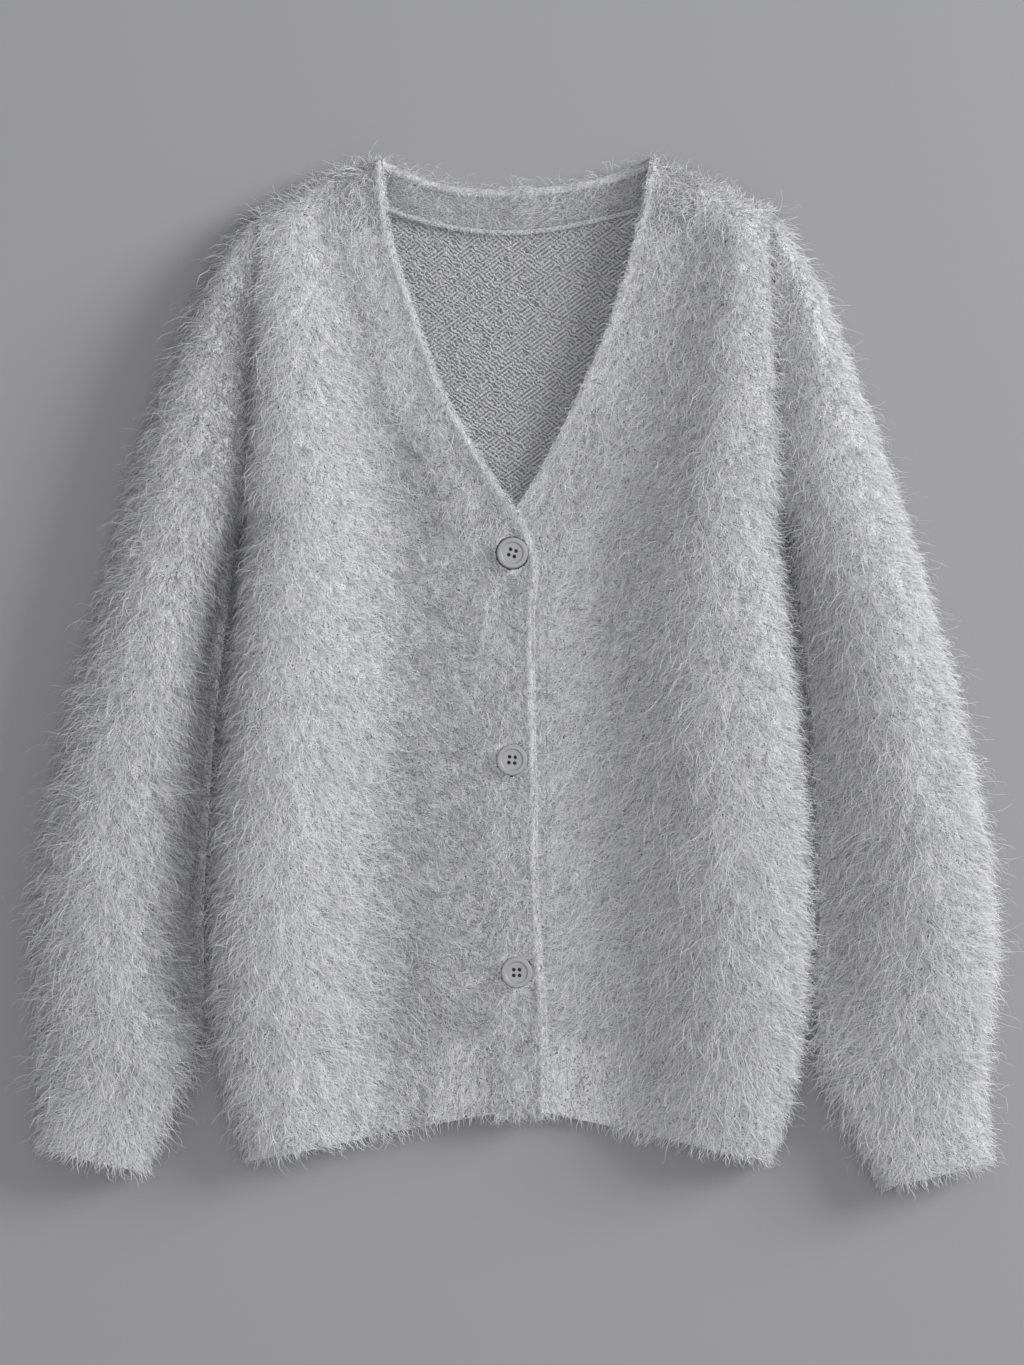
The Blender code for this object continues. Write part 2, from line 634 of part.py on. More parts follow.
def finish(name, colour, roughness):
    material = bpy.data.materials.new(name)
    material.use_nodes = True
    shader = material.node_tree.nodes["Principled BSDF"]
    shader.inputs["Base Color"].default_value = colour
    shader.inputs["Roughness"].default_value = roughness
    return material


for old in list(bpy.data.objects):
    bpy.data.objects.remove(old)
cardigan = bpy.data.collections.new("cardigan")
helpers = bpy.data.collections.new("helpers")
bpy.context.scene.collection.children.link(cardigan)
bpy.context.scene.collection.children.link(helpers)

pile = finish("pale grey long pile", GREY, 0.95)
short_pile = finish("pale grey short pile", GREY, 0.9)
resin = finish("grey button resin", BUTTON_GREY, 0.4)

build_back()
for side, hand in (("right", RIGHT), ("left", LEFT)):
    build_front(side, hand)
    build_sleeve(side, hand)
    build_band(side, hand)
build_buttons()
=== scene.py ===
from collections import namedtuple
from functools import partial
from math import cos, pi, radians, sin

import bmesh
import bpy
import numpy as np
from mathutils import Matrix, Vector
from mathutils.kdtree import KDTree


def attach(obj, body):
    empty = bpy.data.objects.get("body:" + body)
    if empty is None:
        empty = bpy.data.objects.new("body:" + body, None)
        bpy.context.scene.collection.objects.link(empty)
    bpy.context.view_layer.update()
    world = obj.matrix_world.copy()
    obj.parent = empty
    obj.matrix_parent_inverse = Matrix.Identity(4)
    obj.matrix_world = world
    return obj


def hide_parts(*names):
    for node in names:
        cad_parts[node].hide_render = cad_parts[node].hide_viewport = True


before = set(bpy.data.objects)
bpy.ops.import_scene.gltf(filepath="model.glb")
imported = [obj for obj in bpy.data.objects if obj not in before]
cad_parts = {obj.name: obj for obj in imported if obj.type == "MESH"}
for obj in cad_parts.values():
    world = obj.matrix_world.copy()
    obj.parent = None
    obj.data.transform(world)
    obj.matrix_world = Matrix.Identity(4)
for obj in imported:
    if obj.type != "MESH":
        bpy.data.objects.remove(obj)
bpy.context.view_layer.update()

MM = 0.001

# ------------------------------------------------------------------ the back
# One panel of plain knit, reverse side in, and the ribbed hem knitted on below it. The
# ground is thin and firm; brushing has pulled a long soft pile out of its right side.
# It lies flat, and the rest of the garment lies on it.
GROUND = 2.2  # thickness of the knitted ground
STANDING = 2.3  # the dense pile stands this far above the ground
CENTRE_BACK = 3.5 * MM
REVERSE_IN = 0.8  # the knit's reverse lies this far inside its wall
CORNER = radians(50)  # a sharper turn than this is a corner
SMOOTH_OVER = radians(55)
Wave = namedtuple("Wave", "deep way phase")  # of the cloth's soft unevenness
WAVES = (
    Wave(0.45, (0.9, 0.25, 0.3), 0.4), Wave(0.4, (-0.35, 0.6, 0.5), 2.1), Wave(0.3, (1.3, -0.7, 0.2), 4.0),
)
WAVE_LENGTH = 9.5 * MM


def wall_side(node, sharp, reverse=False):
    """One side of a node's wall as a mesh of its own: its right side, or its reverse.

    An edge of the wall is on its rim where the cosine of the turn across it is sharp or less.
    """
    bm = bmesh.new()
    bm.from_mesh(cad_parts[node].data)
    bmesh.ops.remove_doubles(bm, verts=bm.verts[:], dist=2e-5)
    bm.normal_update()
    unseen, sides = set(bm.faces), []
    while unseen:
        side, waiting = [], [unseen.pop()]
        while waiting:
            face = waiting.pop()
            side.append(face)
            for near in {n for edge in face.edges for n in edge.link_faces} & unseen:
                if face.normal.dot(near.normal) > sharp:
                    unseen.discard(near)
                    waiting.append(near)
        sides.append(side)
    walls = sorted(sides, key=lambda side: -sum(f.calc_area() for f in side))[:2]
    if not node.startswith(("sleeve", "cuff")):
        out = -1 if "back" in node else 1
        walls.sort(key=lambda side: -out * sum(f.calc_area() * f.normal.z for f in side))
    chosen = walls[1 if reverse else 0]
    bmesh.ops.delete(bm, geom=list(set(bm.faces) - set(chosen)), context="FACES")
    bmesh.ops.join_triangles(
        bm, faces=bm.faces[:], angle_face_threshold=CORNER, angle_shape_threshold=radians(75)
    )
    firm = bm.verts.layers.float.new("crease_vert")
    for vert in bm.verts:
        ends = [edge.other_vert(vert).co for edge in vert.link_edges if edge.is_boundary]
        if len(ends) == 2 and (ends[0] - vert.co).angle(vert.co - ends[1]) > CORNER:
            vert[firm] = 1.0
    mesh = bpy.data.meshes.new(node)
    bm.to_mesh(mesh)
    bm.free()
    return mesh


def made(obj):
    """obj with its modifiers worked in, as a plain mesh."""
    graph = bpy.context.evaluated_depsgraph_get()
    mesh = bpy.data.meshes.new_from_object(
        obj.evaluated_get(graph), preserve_all_data_layers=True, depsgraph=graph
    )
    obj.modifiers.clear()
    obj.data = mesh
    return obj


def new_piece(name, mesh):
    obj = bpy.data.objects.new(name, mesh)
    bpy.context.scene.collection.objects.link(obj)
    return obj


def read(mesh, what="co"):
    """All points of a mesh, or their normals, as rows."""
    values = np.zeros(len(mesh.vertices) * 3)
    mesh.vertices.foreach_get(what, values)
    return values.reshape(-1, 3)


def ease(x):
    """0 below 0, 1 above 1, and a soft step between them."""
    x = np.clip(x, 0, 1)
    return x * x * (3 - 2 * x)


def skin(node, sharp, fineness, inset=STANDING, reverse=False, sag=None):
    """One side of a piece of knit, smoothed and let down under its dense pile.

    sag gives how much further each point is let down, from all points and normals.
    """
    obj = new_piece("skin_" + node, wall_side(node, sharp, reverse))
    smooth = obj.modifiers.new("even", "SUBSURF")
    smooth.levels = smooth.render_levels = fineness
    smooth.boundary_smooth = "PRESERVE_CORNERS"
    made(obj)
    obj.data.shade_smooth()
    points, normals = read(obj.data), read(obj.data, "normal")
    depth = np.full(len(points), inset)
    if inset == STANDING:
        uneven = sum(w.deep * np.sin(points @ np.array(w.way) / WAVE_LENGTH + w.phase) for w in WAVES)
        depth += uneven * 0.5
    if sag:
        depth += sag(points / MM, normals)
    points -= normals * (depth * MM)[:, None]
    obj.data.vertices.foreach_set("co", points.ravel())
    obj.data.update()
    return obj


def ground(node, laid_skin, material, thickness=GROUND):
    """The knit itself: the skin with a thickness, and nowhere below what it lies on."""
    obj = new_piece("knit_" + node, laid_skin.data.copy())
    wall = obj.modifiers.new("wall", "SOLIDIFY")
    wall.thickness, wall.offset = thickness * MM, -1
    made(obj)
    points = read(obj.data)
    points[:, 2] = np.maximum(points[:, 2], 0.0)
    obj.data.vertices.foreach_set("co", points.ravel())
    obj.data.materials.clear()
    obj.data.materials.append(material)
    obj.data.shade_smooth()
    obj.data.set_sharp_from_angle(angle=SMOOTH_OVER)
    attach(obj, "root")
    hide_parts(node)
    return obj


class Field:
    """A node's output. Arithmetic on it adds the nodes that work it out."""

    def __init__(self, tree, socket):
        self.tree, self.socket = tree, socket
        self.is_vector = socket.type == "VECTOR"

    def work(self, operation, *others, scalar=False):
        values = [self, *others]
        vectors = [isinstance(v, Field) and v.is_vector for v in values]
        node = self.tree.nodes.new("ShaderNodeVectorMath" if any(vectors) else "ShaderNodeMath")
        node.operation, ends = operation, node.inputs
        if any(vectors) and operation == "MULTIPLY" and not all(vectors):
            values = [v for _, v in sorted(zip(vectors, values), key=lambda pair: not pair[0])]
            node.operation = "SCALE"
            ends = (node.inputs[0], node.inputs["Scale"])
        for socket, value in zip(ends, values):
            if isinstance(value, Field):
                self.tree.links.new(value.socket, socket)
            else:
                socket.default_value = value
        return Field(self.tree, node.outputs[1 if scalar and any(vectors) else 0])

    def __add__(self, other):
        return self.work("ADD", other)

    def __sub__(self, other):
        return self.work("SUBTRACT", other)

    def __mul__(self, other):
        return self.work("MULTIPLY", other)

    def dot(self, other):
        return self.work("DOT_PRODUCT", other, scalar=True)

    def cross(self, other):
        return self.work("CROSS_PRODUCT", other)

    def unit(self):
        return self.work("NORMALIZE")

    def other(self, name):
        """Another output of the same node."""
        return Field(self.tree, self.socket.node.outputs[name])


def put(tree, kind, inputs=None, out=0, **settings):
    """Adds a node with its inputs linked or set, and gives one of its outputs."""
    node = tree.nodes.new(kind)
    for key, value in settings.items():
        setattr(node, key, value)
    for key, value in (inputs or {}).items():
        socket = node.inputs[key]
        if isinstance(value, Field):
            tree.links.new(value.socket, socket)
        else:
            socket.default_value = value
    return Field(tree, node.outputs[out])


def named(tree, name, kind="FLOAT"):
    """A value that is kept on the mesh."""
    return put(tree, "GeometryNodeInputNamedAttribute", {"Name": name}, data_type=kind)


def keep(tree, geometry, name, value, kind="FLOAT", domain="POINT"):
    """Keeps a value on the mesh."""
    return put(
        tree, "GeometryNodeStoreNamedAttribute", {"Geometry": geometry, "Name": name, "Value": value},
        data_type=kind, domain=domain,
    )


def new_group(kind, name, output, inputs):
    """A node group with one output, and its inputs by name."""
    tree = bpy.data.node_groups.new(name, kind + "NodeTree")
    for way, rows in (("OUTPUT", [output]), ("INPUT", inputs)):
        for socket, value in rows:
            tree.interface.new_socket(socket, in_out=way, socket_type="NodeSocket" + value)
    return tree, {s.name: Field(tree, s) for s in tree.nodes.new("NodeGroupInput").outputs if s.name}


def give(tree, value):
    """Sends a value out of its node group."""
    tree.links.new(value.socket, tree.nodes.new("NodeGroupOutput").inputs[0])


VECTOR = "FLOAT_VECTOR"
PRESSED = 0.05  # stray hair that would rise above this is pressed down
FORWARD, RISE = 0.92, 1.7  # how much of its length a hair reaches forward, and how steeply it springs up
SWAY, BOB = 0.26, 0.1  # how far it curls sideways and up, as shares of its length
SWAY_TURN, BOB_TURN = 3.8, 3.1  # and how far round it goes


def coat_tree():
    """One coat of hair: each hair springs from the skin, lies over the way it is combed, and curls."""
    shares = ("Hairs a square metre", "Length", "Width", "Lift", "Stray", "Curl", "Palest share")
    tree, given = new_group("Geometry", "coat of hair", ("Hair", "Geometry"), [
        ("Skin", "Geometry"), ("One hair", "Object"),
        *((share, "Float") for share in shares), ("Seed", "Int"),
    ])
    points = put(tree, "GeometryNodeDistributePointsOnFaces", {
        "Mesh": given["Skin"], "Seed": given["Seed"],
        "Density": given["Hairs a square metre"] * named(tree, "cover"),
    })
    normal = points.other("Normal")
    place = put(tree, "GeometryNodeInputPosition")

    def chance(low, high, salt):
        node = tree.nodes.new("FunctionNodeRandomValue")
        node.data_type = "FLOAT"
        low_socket, high_socket = [s for s in node.inputs if s.enabled and s.name in ("Min", "Max")]
        low_socket.default_value, high_socket.default_value = low, high
        tree.links.new((given["Seed"] + salt).socket, node.inputs["Seed"])
        return Field(tree, next(s for s in node.outputs if s.enabled))

    def cloud(size, salt):
        """Slow changes over the cloth, -1 to 1, patches of hair that lie alike."""
        node = tree.nodes.new("ShaderNodeTexNoise")
        node.noise_dimensions = "3D"
        node.inputs["Scale"].default_value = 1 / size
        node.inputs["Detail"].default_value = 1.0
        tree.links.new((place + (salt, salt, salt)).socket, node.inputs["Vector"])
        return (Field(tree, node.outputs[0]) - 0.5) * 3.4

    def less(value, share):
        """A factor that falls from 1 by that share as the value goes from 0 to 1."""
        return value * -share + 1.0

    comb = named(tree, "comb", VECTOR)
    flat = (comb - normal * comb.dot(normal)).unit()
    across = normal.cross(flat)
    rib, stand = named(tree, "rib"), named(tree, "stand")
    loose = given["Stray"] * less(rib, 0.85) * (stand * -1.1 + 2.1)
    # hair lies alike in patches of about 11 and 34 mm, and each one turns a little by itself
    turn = loose * (cloud(0.011, 3.1) * 0.6 + cloud(0.034, 7.7) * 0.45 + chance(-1.0, 1.0, 1) * 0.75)
    way = flat * turn.work("COSINE") + across * turn.work("SINE")
    groove = rib * ((named(tree, "girth") * (2 * pi)).work("COSINE") * 0.5 + 0.5)
    reach = given["Length"] * named(tree, "pile") * chance(0.6, 1.3, 2)
    lift = given["Lift"] * stand * (cloud(0.014, 1.3) * 0.35 + 1.0) * chance(0.6, 1.4, 3)
    paleness = given["Palest share"] + less(given["Palest share"], 1.0) * chance(0.0, 1.0, 7)
    # hairs in a rib's furrow, and where the skin asks for it, get a darker shade: painted shade
    for name, value, kind in (
        ("root", place - normal * (groove * 0.0006), VECTOR),
        ("rise", normal, VECTOR),
        ("way", way, VECTOR),
        ("reach", reach * less(groove, 0.7), "FLOAT"),
        ("lift", lift * less(groove, 0.6), "FLOAT"),
        ("phase", chance(0.0, 6.28, 4), "FLOAT"),
        ("curl", given["Curl"] * chance(0.3, 1.5, 5) * less(rib, 0.55), "FLOAT"),
        ("twist", chance(-0.7, 0.7, 6), "FLOAT"),
        ("shade", paleness * less(groove, 0.92) * less(named(tree, "parted"), 1.0), "FLOAT"),
    ):
        points = keep(tree, points, name, value, kind)
    hair = put(tree, "GeometryNodeObjectInfo", {"Object": given["One hair"]}, out="Geometry")
    cut = put(tree, "ShaderNodeSeparateXYZ", {"Vector": place})
    hair = keep(tree, hair, "across", cut)
    hair = keep(tree, hair, "along", cut.other("Y"))
    many = put(tree, "GeometryNodeInstanceOnPoints", {"Points": points, "Instance": hair})
    many = put(tree, "GeometryNodeRealizeInstances", {"Geometry": many})
    root, rise, way = (named(tree, n, VECTOR) for n in ("root", "rise", "way"))
    reach, lift, phase, curl, twist, along = (
        named(tree, n) for n in ("reach", "lift", "phase", "curl", "twist", "along")
    )
    side = rise.cross(way)
    swing = (phase + along * SWAY_TURN).work("SINE") - phase.work("SINE")
    bob = (phase + along * BOB_TURN).work("COSINE") - phase.work("COSINE")
    centre = (
        root
        + way * (reach * along * FORWARD)
        + rise * (reach * lift * (along - along * along * 0.5) * RISE)
        + side * (reach * curl * swing * SWAY)
        + rise * (reach * curl * bob * BOB)
    )
    flatways = side * twist.work("COSINE") + rise * twist.work("SINE")
    spot = centre + flatways * (named(tree, "across") * given["Width"])
    parts = put(tree, "ShaderNodeSeparateXYZ", {"Vector": spot})
    height = parts.other("Z").work("MAXIMUM", along * 0.0006 + 0.0004)
    height = height.work("MINIMUM", height * 0.25 + 0.75 * PRESSED)
    spot = put(tree, "ShaderNodeCombineXYZ", {"X": parts, "Y": parts.other("Y"), "Z": height})
    many = put(tree, "GeometryNodeSetPosition", {"Geometry": many, "Position": spot})
    map_spot = put(tree, "ShaderNodeCombineXYZ", {"X": named(tree, "shade"), "Y": along})
    many = keep(tree, many, "OFBake", map_spot, "FLOAT2", "CORNER")
    give(tree, many)
    return tree


def one_hair(steps):
    """A flat tapering hair, one unit long and one wide, that ends in a point."""
    mesh = bpy.data.meshes.new(f"hair_{steps}")
    points = [(x * (0.5 - 0.34 * k / steps), k / steps, 0) for k in range(steps) for x in (-1, 1)]
    faces = [(2 * k, 2 * k + 1, 2 * k + 3, 2 * k + 2) for k in range(steps - 1)]
    faces.append((2 * steps - 2, 2 * steps - 1, 2 * steps))
    mesh.from_pydata([*points, (0, 1, 0)], [], faces)
    return bpy.data.objects.new(mesh.name, mesh)


# hairs a square centimetre, steps along a hair, and sizes in millimetres; the rest are shares
Coat = namedtuple("Coat", "hairs steps length width lift stray curl pale")
UNDERCOAT = Coat(19.9, 2, 6.5, 0.5, 0.42, 2.4, 1.5, 0)
LONG_HAIR = Coat(16.8, 3, 19.0, 0.4, 0.33, 0.8, 0.9, 0)
FLYAWAYS = Coat(1.8, 4, 21.0, 0.24, 0.75, 1.2, 1.0, 0.3)
INNER_FUZZ = Coat(9, 3, 6.0, 0.3, 0.3, 1.2, 1.3, 0)
coat_group = coat_tree()
hairs = {steps: one_hair(steps) for steps in (2, 3, 4)}


def pile_tree(name, coats, material):
    """Several coats of hair over one skin."""
    tree, given = new_group("Geometry", name, ("Pile", "Geometry"), [("Skin", "Geometry"), ("Seed", "Int")])
    gather = tree.nodes.new("GeometryNodeJoinGeometry")
    for number, coat in enumerate(coats):
        grown = put(tree, "GeometryNodeGroup", {
            "Skin": given["Skin"], "Seed": given["Seed"] + 31 * number, "One hair": hairs[coat.steps],
            "Hairs a square metre": coat.hairs * 1e4, "Length": coat.length * MM, "Width": coat.width * MM,
            "Lift": coat.lift, "Stray": coat.stray, "Curl": coat.curl, "Palest share": coat.pale,
        }, node_tree=coat_group)
        tree.links.new(grown.socket, gather.inputs["Geometry"])
    realized = put(tree, "GeometryNodeRealizeInstances", {"Geometry": Field(tree, gather.outputs[0])})
    smooth = put(tree, "GeometryNodeSetShadeSmooth", {"Geometry": realized})
    give(tree, put(tree, "GeometryNodeSetMaterial", {"Geometry": smooth, "Material": material}))
    return tree


GROWING = {  # what a coat of hair grows by, and isn't needed after
    "root", "rise", "way", "reach", "lift", "phase", "curl", "twist", "shade", "across", "along",
    "comb", "pile", "cover", "stand", "rib", "girth", "parted",
}


def brush(node, laid_skin, tree, seed, prefix="pile_"):
    """Grows the pile of one piece from its skin, which is then done with."""
    obj = new_piece(prefix + node, laid_skin.data)
    bpy.data.objects.remove(laid_skin)
    growth = obj.modifiers.new("brushing", "NODES")
    growth.node_group = tree
    growth[next(s.identifier for s in tree.interface.items_tree if s.name == "Seed")] = seed
    made(obj)
    for attribute in [a.name for a in obj.data.attributes]:
        if attribute in GROWING:
            obj.data.attributes.remove(obj.data.attributes[attribute])
    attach(obj, "root")
    return obj


def from_rim(mesh):
    """How far each point of a skin is from the skin's rim, in millimetres."""
    uses = np.zeros(len(mesh.edges), int)
    loop_edges = np.zeros(len(mesh.loops), int)
    mesh.loops.foreach_get("edge_index", loop_edges)
    np.add.at(uses, loop_edges, 1)
    rims = {v for edge in mesh.edges if uses[edge.index] == 1 for v in edge.vertices}
    if not rims:
        return np.full(len(mesh.vertices), np.inf)
    tree = KDTree(len(rims))
    for vert in rims:
        tree.insert(mesh.vertices[vert].co, vert)
    tree.balance()
    return np.array([tree.find(vert.co)[2] for vert in mesh.vertices]) / MM


def combed(laid_skin, comb, pile=1.0, cover=1.0, rib=0.0, girth=0.0, parted=0.0):
    """Keeps on the skin how its hair lies.

    comb is the way it is combed, pile its length, cover how thick it grows, rib how much it
    lies in ribs, girth a count of ribs across the cloth, and the last one how far its hair is darkened:
    painted shade.
    Where the cloth turns down at its sides the hair is shorter, grows thicker and stands up
    more. It grows thicker too along the seams of the shoulders and armholes and at the hem.
    """
    mesh = laid_skin.data
    side = ease((np.abs(read(mesh, "normal")[:, 0]) - 0.45) / 0.4)
    high = read(mesh)[:, 1] / MM
    near_rim = 1 - ease((from_rim(mesh) - 2) / 7)
    seam = near_rim * np.maximum(ease((high - 90) / 40), ease((-195 - high) / 15))
    mesh.attributes.new("comb", VECTOR, "POINT").data.foreach_set("vector", comb.ravel())
    for name, values in (
        ("pile", pile * (1 - 0.4 * side) * (1 - 0.2 * seam)),
        ("cover", cover * (1 + 0.6 * side) * (1 + seam)),
        ("stand", 1 + 0.45 * side),
        ("rib", rib),
        ("girth", girth),
        ("parted", parted),
    ):
        layer = mesh.attributes.new(name, "FLOAT", "POINT")
        layer.data.foreach_set("value", np.ones(len(mesh.vertices)) * values)


def from_line(points, line):
    """How far each point is to the right of a line, and the line's direction beside it."""
    best = np.full(len(points), np.inf)
    signed, heading = np.zeros(len(points)), np.zeros((len(points), 2))
    for start, end in zip(line, line[1:]):
        start, run = np.array(start, float), np.array(end, float) - np.array(start, float)
        share = np.clip((points - start) @ run / (run @ run), 0, 1)
        gap = points - start - share[:, None] * run
        far = np.hypot(*gap.T)
        nearer = far < best
        best[nearer] = far[nearer]
        signed[nearer] = (np.sign(gap @ np.array([run[1], -run[0]])) * far)[nearer]
        heading[nearer] = run / np.hypot(*run)
    return signed, heading


def mix_colour(tree, share, low, high, blend="MIX"):
    """A colour between two, or the one tinted with the other."""
    node = tree.nodes.new("ShaderNodeMix")
    node.data_type, node.blend_type = "RGBA", blend
    ins = {s.name: s for s in node.inputs if s.enabled}
    for key, value in (("Factor", share), ("A", low), ("B", high)):
        if isinstance(value, Field):
            tree.links.new(value.socket, ins[key])
        else:
            ins[key].default_value = value if key == "Factor" else (*value, 1)
    return Field(tree, next(s for s in node.outputs if s.enabled))


def new_finish(name, roughness, gloss=0.5):
    """A new finish, with its nodes and its shader."""
    material = bpy.data.materials.new(name)
    material.use_nodes = True
    shader = material.node_tree.nodes["Principled BSDF"]
    shader.inputs["Roughness"].default_value = roughness
    shader.inputs["Specular IOR Level"].default_value = gloss
    return material, material.node_tree, shader


SHADED = (0.3, 0.3, 0.31)  # what is left of a hair's colour deep in the pile


def hair_finish(name, root, tip, clear):
    """Soft hair: darker at its root, and each one a little lighter or darker than the next.

    clear is how much of the light goes through it.
    """
    material, tree, shader = new_finish(name, 0.7, 0.25)
    spot = put(tree, "ShaderNodeSeparateXYZ", {"Vector": put(tree, "ShaderNodeUVMap", uv_map="OFBake")})
    along = spot.other("Y")
    # less than one hair in four lies in the shade of the others
    shade = (spot * 4.0).work("MINIMUM", spot * 0.13 + 0.87)
    own = mix_colour(tree, shade, SHADED, (1.0, 1.0, 1.0))
    colour = mix_colour(tree, 1.0, mix_colour(tree, along, root, tip), own, "MULTIPLY")
    tree.links.new(colour.socket, shader.inputs["Base Color"])
    through = tree.nodes.new("ShaderNodeBsdfTranslucent")
    tree.links.new(colour.socket, through.inputs["Color"])
    both = tree.nodes.new("ShaderNodeMixShader")
    both.inputs[0].default_value = clear
    tree.links.new(shader.outputs[0], both.inputs[1])
    tree.links.new(through.outputs[0], both.inputs[2])
    tree.links.new(both.outputs[0], tree.nodes["Material Output"].inputs["Surface"])
    return material


COLUMN, ROW = 4.1 * MM, 3.0 * MM  # of the knit's loops


def stitch_group():
    """Purl side of plain knit: fine loops that slant both ways, more of them down towards the middle."""
    tree, given = new_group("Shader", "purl stitches", ("Loop", "Float"), [("Place", "Vector")])
    spot = put(tree, "ShaderNodeSeparateXYZ", {"Vector": given["Place"]})
    waver = put(tree, "ShaderNodeTexNoise", {"Vector": given["Place"], "Scale": 240.0, "Detail": 2.0})
    drift = put(tree, "ShaderNodeTexNoise", {"Vector": given["Place"], "Scale": 150.0, "Detail": 1.0})
    outward = ((spot - CENTRE_BACK) * 9.0).work("MAXIMUM", -0.1).work("MINIMUM", 0.1)
    share = ((drift - 0.5) * 3.0 + outward + 0.42).work("MAXIMUM", 0.15).work("MINIMUM", 0.85)
    across = spot.work("DIVIDE", COLUMN) + waver * 1.2
    up = spot.other("Y").work("DIVIDE", ROW) + waver * 1.2
    rising = ((up - across) * (2 * pi)).work("COSINE") * 0.5 + 0.5
    falling = ((up + across) * (2 * pi)).work("COSINE") * 0.5 + 0.5
    give(tree, rising * share + falling * (share * -1.0 + 1.0))
    return tree


purl = stitch_group()


def knit_finish(name, colour, depth):
    """Fine knit with a little fuzz on it; the hollows between its loops are darker and the loops lighter:
    painted shade and highlight.

    depth is how much its loops show.
    """
    material, tree, shader = new_finish(name, 0.9, 0.2)
    place = put(tree, "ShaderNodeTexCoord", out="Object")
    loop = put(tree, "ShaderNodeGroup", {"Place": place}, node_tree=purl)
    fuzz = put(tree, "ShaderNodeTexNoise", {"Vector": place, "Scale": 1100.0, "Detail": 3.0})
    relief = loop * depth + fuzz * 1.3 - (0.4 * depth + 0.2)
    # colour follows the relief: painted shade in the hollows, painted light on the loops, and the fuzz's
    # random tone
    mixed = mix_colour(tree, relief, tuple(c * 0.3 for c in colour), tuple(c * 1.8 for c in colour))
    tree.links.new(mixed.socket, shader.inputs["Base Color"])
    bump = put(tree, "ShaderNodeBump", {"Height": relief, "Strength": 0.8, "Distance": 0.001}, out="Normal")
    tree.links.new(bump.socket, shader.inputs["Normal"])
    return material


def curl_group():
    """Short hair matted flat in fine curls: 1 on a curl, 0 between them."""
    tree, given = new_group("Shader", "matted curls", ("Curl", "Float"), [("Place", "Vector")])
    layers = []
    for salt in (0.0, 7.3):
        wave = put(tree, "ShaderNodeTexNoise", {
            "Vector": given["Place"] + (salt, salt, salt), "Scale": 380.0, "Detail": 1.0, "Distortion": 1.5,
        })
        off = (wave - 0.5) * 9.0
        layers.append((off * off * -1.0).work("EXPONENT"))
    give(tree, layers[0].work("MAXIMUM", layers[1]))
    return tree


matted = curl_group()


def felt_finish(name, low, high):
    """The short matted hair that hides the ground, darker between its curls: painted shade."""
    material, tree, shader = new_finish(name, 0.9, 0.2)
    place = put(tree, "ShaderNodeTexCoord", out="Object")
    curl = put(tree, "ShaderNodeGroup", {"Place": place}, node_tree=matted)
    # dark between the curls and light on them: painted shade
    tree.links.new(mix_colour(tree, curl, low, high).socket, shader.inputs["Base Color"])
    bump = put(tree, "ShaderNodeBump", {"Height": curl, "Strength": 0.6, "Distance": 0.0008}, out="Normal")
    tree.links.new(bump.socket, shader.inputs["Normal"])
    return material


GREY_ROOT, GREY_TIP, CLEAR = (0.45, 0.45, 0.464), (0.8, 0.8, 0.815), 0.34
long_pile = hair_finish("pale grey long hair", GREY_ROOT, GREY_TIP, CLEAR)
short_pile = hair_finish("pale grey short hair", GREY_ROOT, GREY_TIP, CLEAR)
knit = knit_finish("pale grey knit", (0.225, 0.225, 0.237), 0.85)
pile_ground = felt_finish("pale grey matted hair", (0.06, 0.06, 0.063), (0.5, 0.5, 0.515))
long_pile_tree = pile_tree("long brushed pile", [UNDERCOAT, LONG_HAIR, FLYAWAYS], long_pile)
inner_fuzz_tree = pile_tree("sparse inner fuzz", [INNER_FUZZ], short_pile)

# the line where the hair parts, from the top down, in millimetres
BACK_PARTING = [(0, 300), (0, -340)]
PARTING_WIDE = 42.0  # over this distance from its parting the hair turns fully sideways


def comb_out(line, points):
    """Which way hair lies, combed down and away from its parting, and how far to its right it is."""
    signed, heading = from_line(points[:, :2], line)
    sideways = np.stack([heading[:, 1], -heading[:, 0]], 1)
    lean = np.clip(signed / PARTING_WIDE, -1, 1)[:, None]
    comb = np.zeros((len(points), 3))
    comb[:, :2] = heading + sideways * lean
    comb[:, 2] = -0.35
    return comb, signed


LEVEL = 3.6  # above this height the back turns up to its side folds
for node, sharp, seed, cut, area in (
    ("back", 0.6, 11, (0.39, 0.60), 0.2),
    ("hem_back", 0.5, 12, (0.37, 0.08), 0.0225),
):
    laid = skin(node, sharp, 1)
    points = read(laid.data) / MM
    comb, _ = comb_out(BACK_PARTING, points)
    side = ease((points[:, 2] - LEVEL) / 4)
    combed(laid, comb, pile=0.8 - 0.4 * ease((-250 - points[:, 1]) / 60), cover=0.06 + 0.94 * side)
    cloth = ground(node, laid, knit if node == "back" else pile_ground)
    pieces = [brush(node, laid, long_pile_tree, seed)]
    if node == "back":
        laid = skin(node, sharp, 1, inset=REVERSE_IN, reverse=True)
        points = read(laid.data) / MM
        seen = ease((105 - np.abs(points[:, 0])) / 20) * ease((points[:, 1] - 40) / 40)
        combed(laid, np.tile([0.2, -1.0, 0.0], (len(points), 1)), cover=0.1 + 0.9 * seen)
        pieces.append(brush(node, laid, inner_fuzz_tree, 13, "fuzz_"))

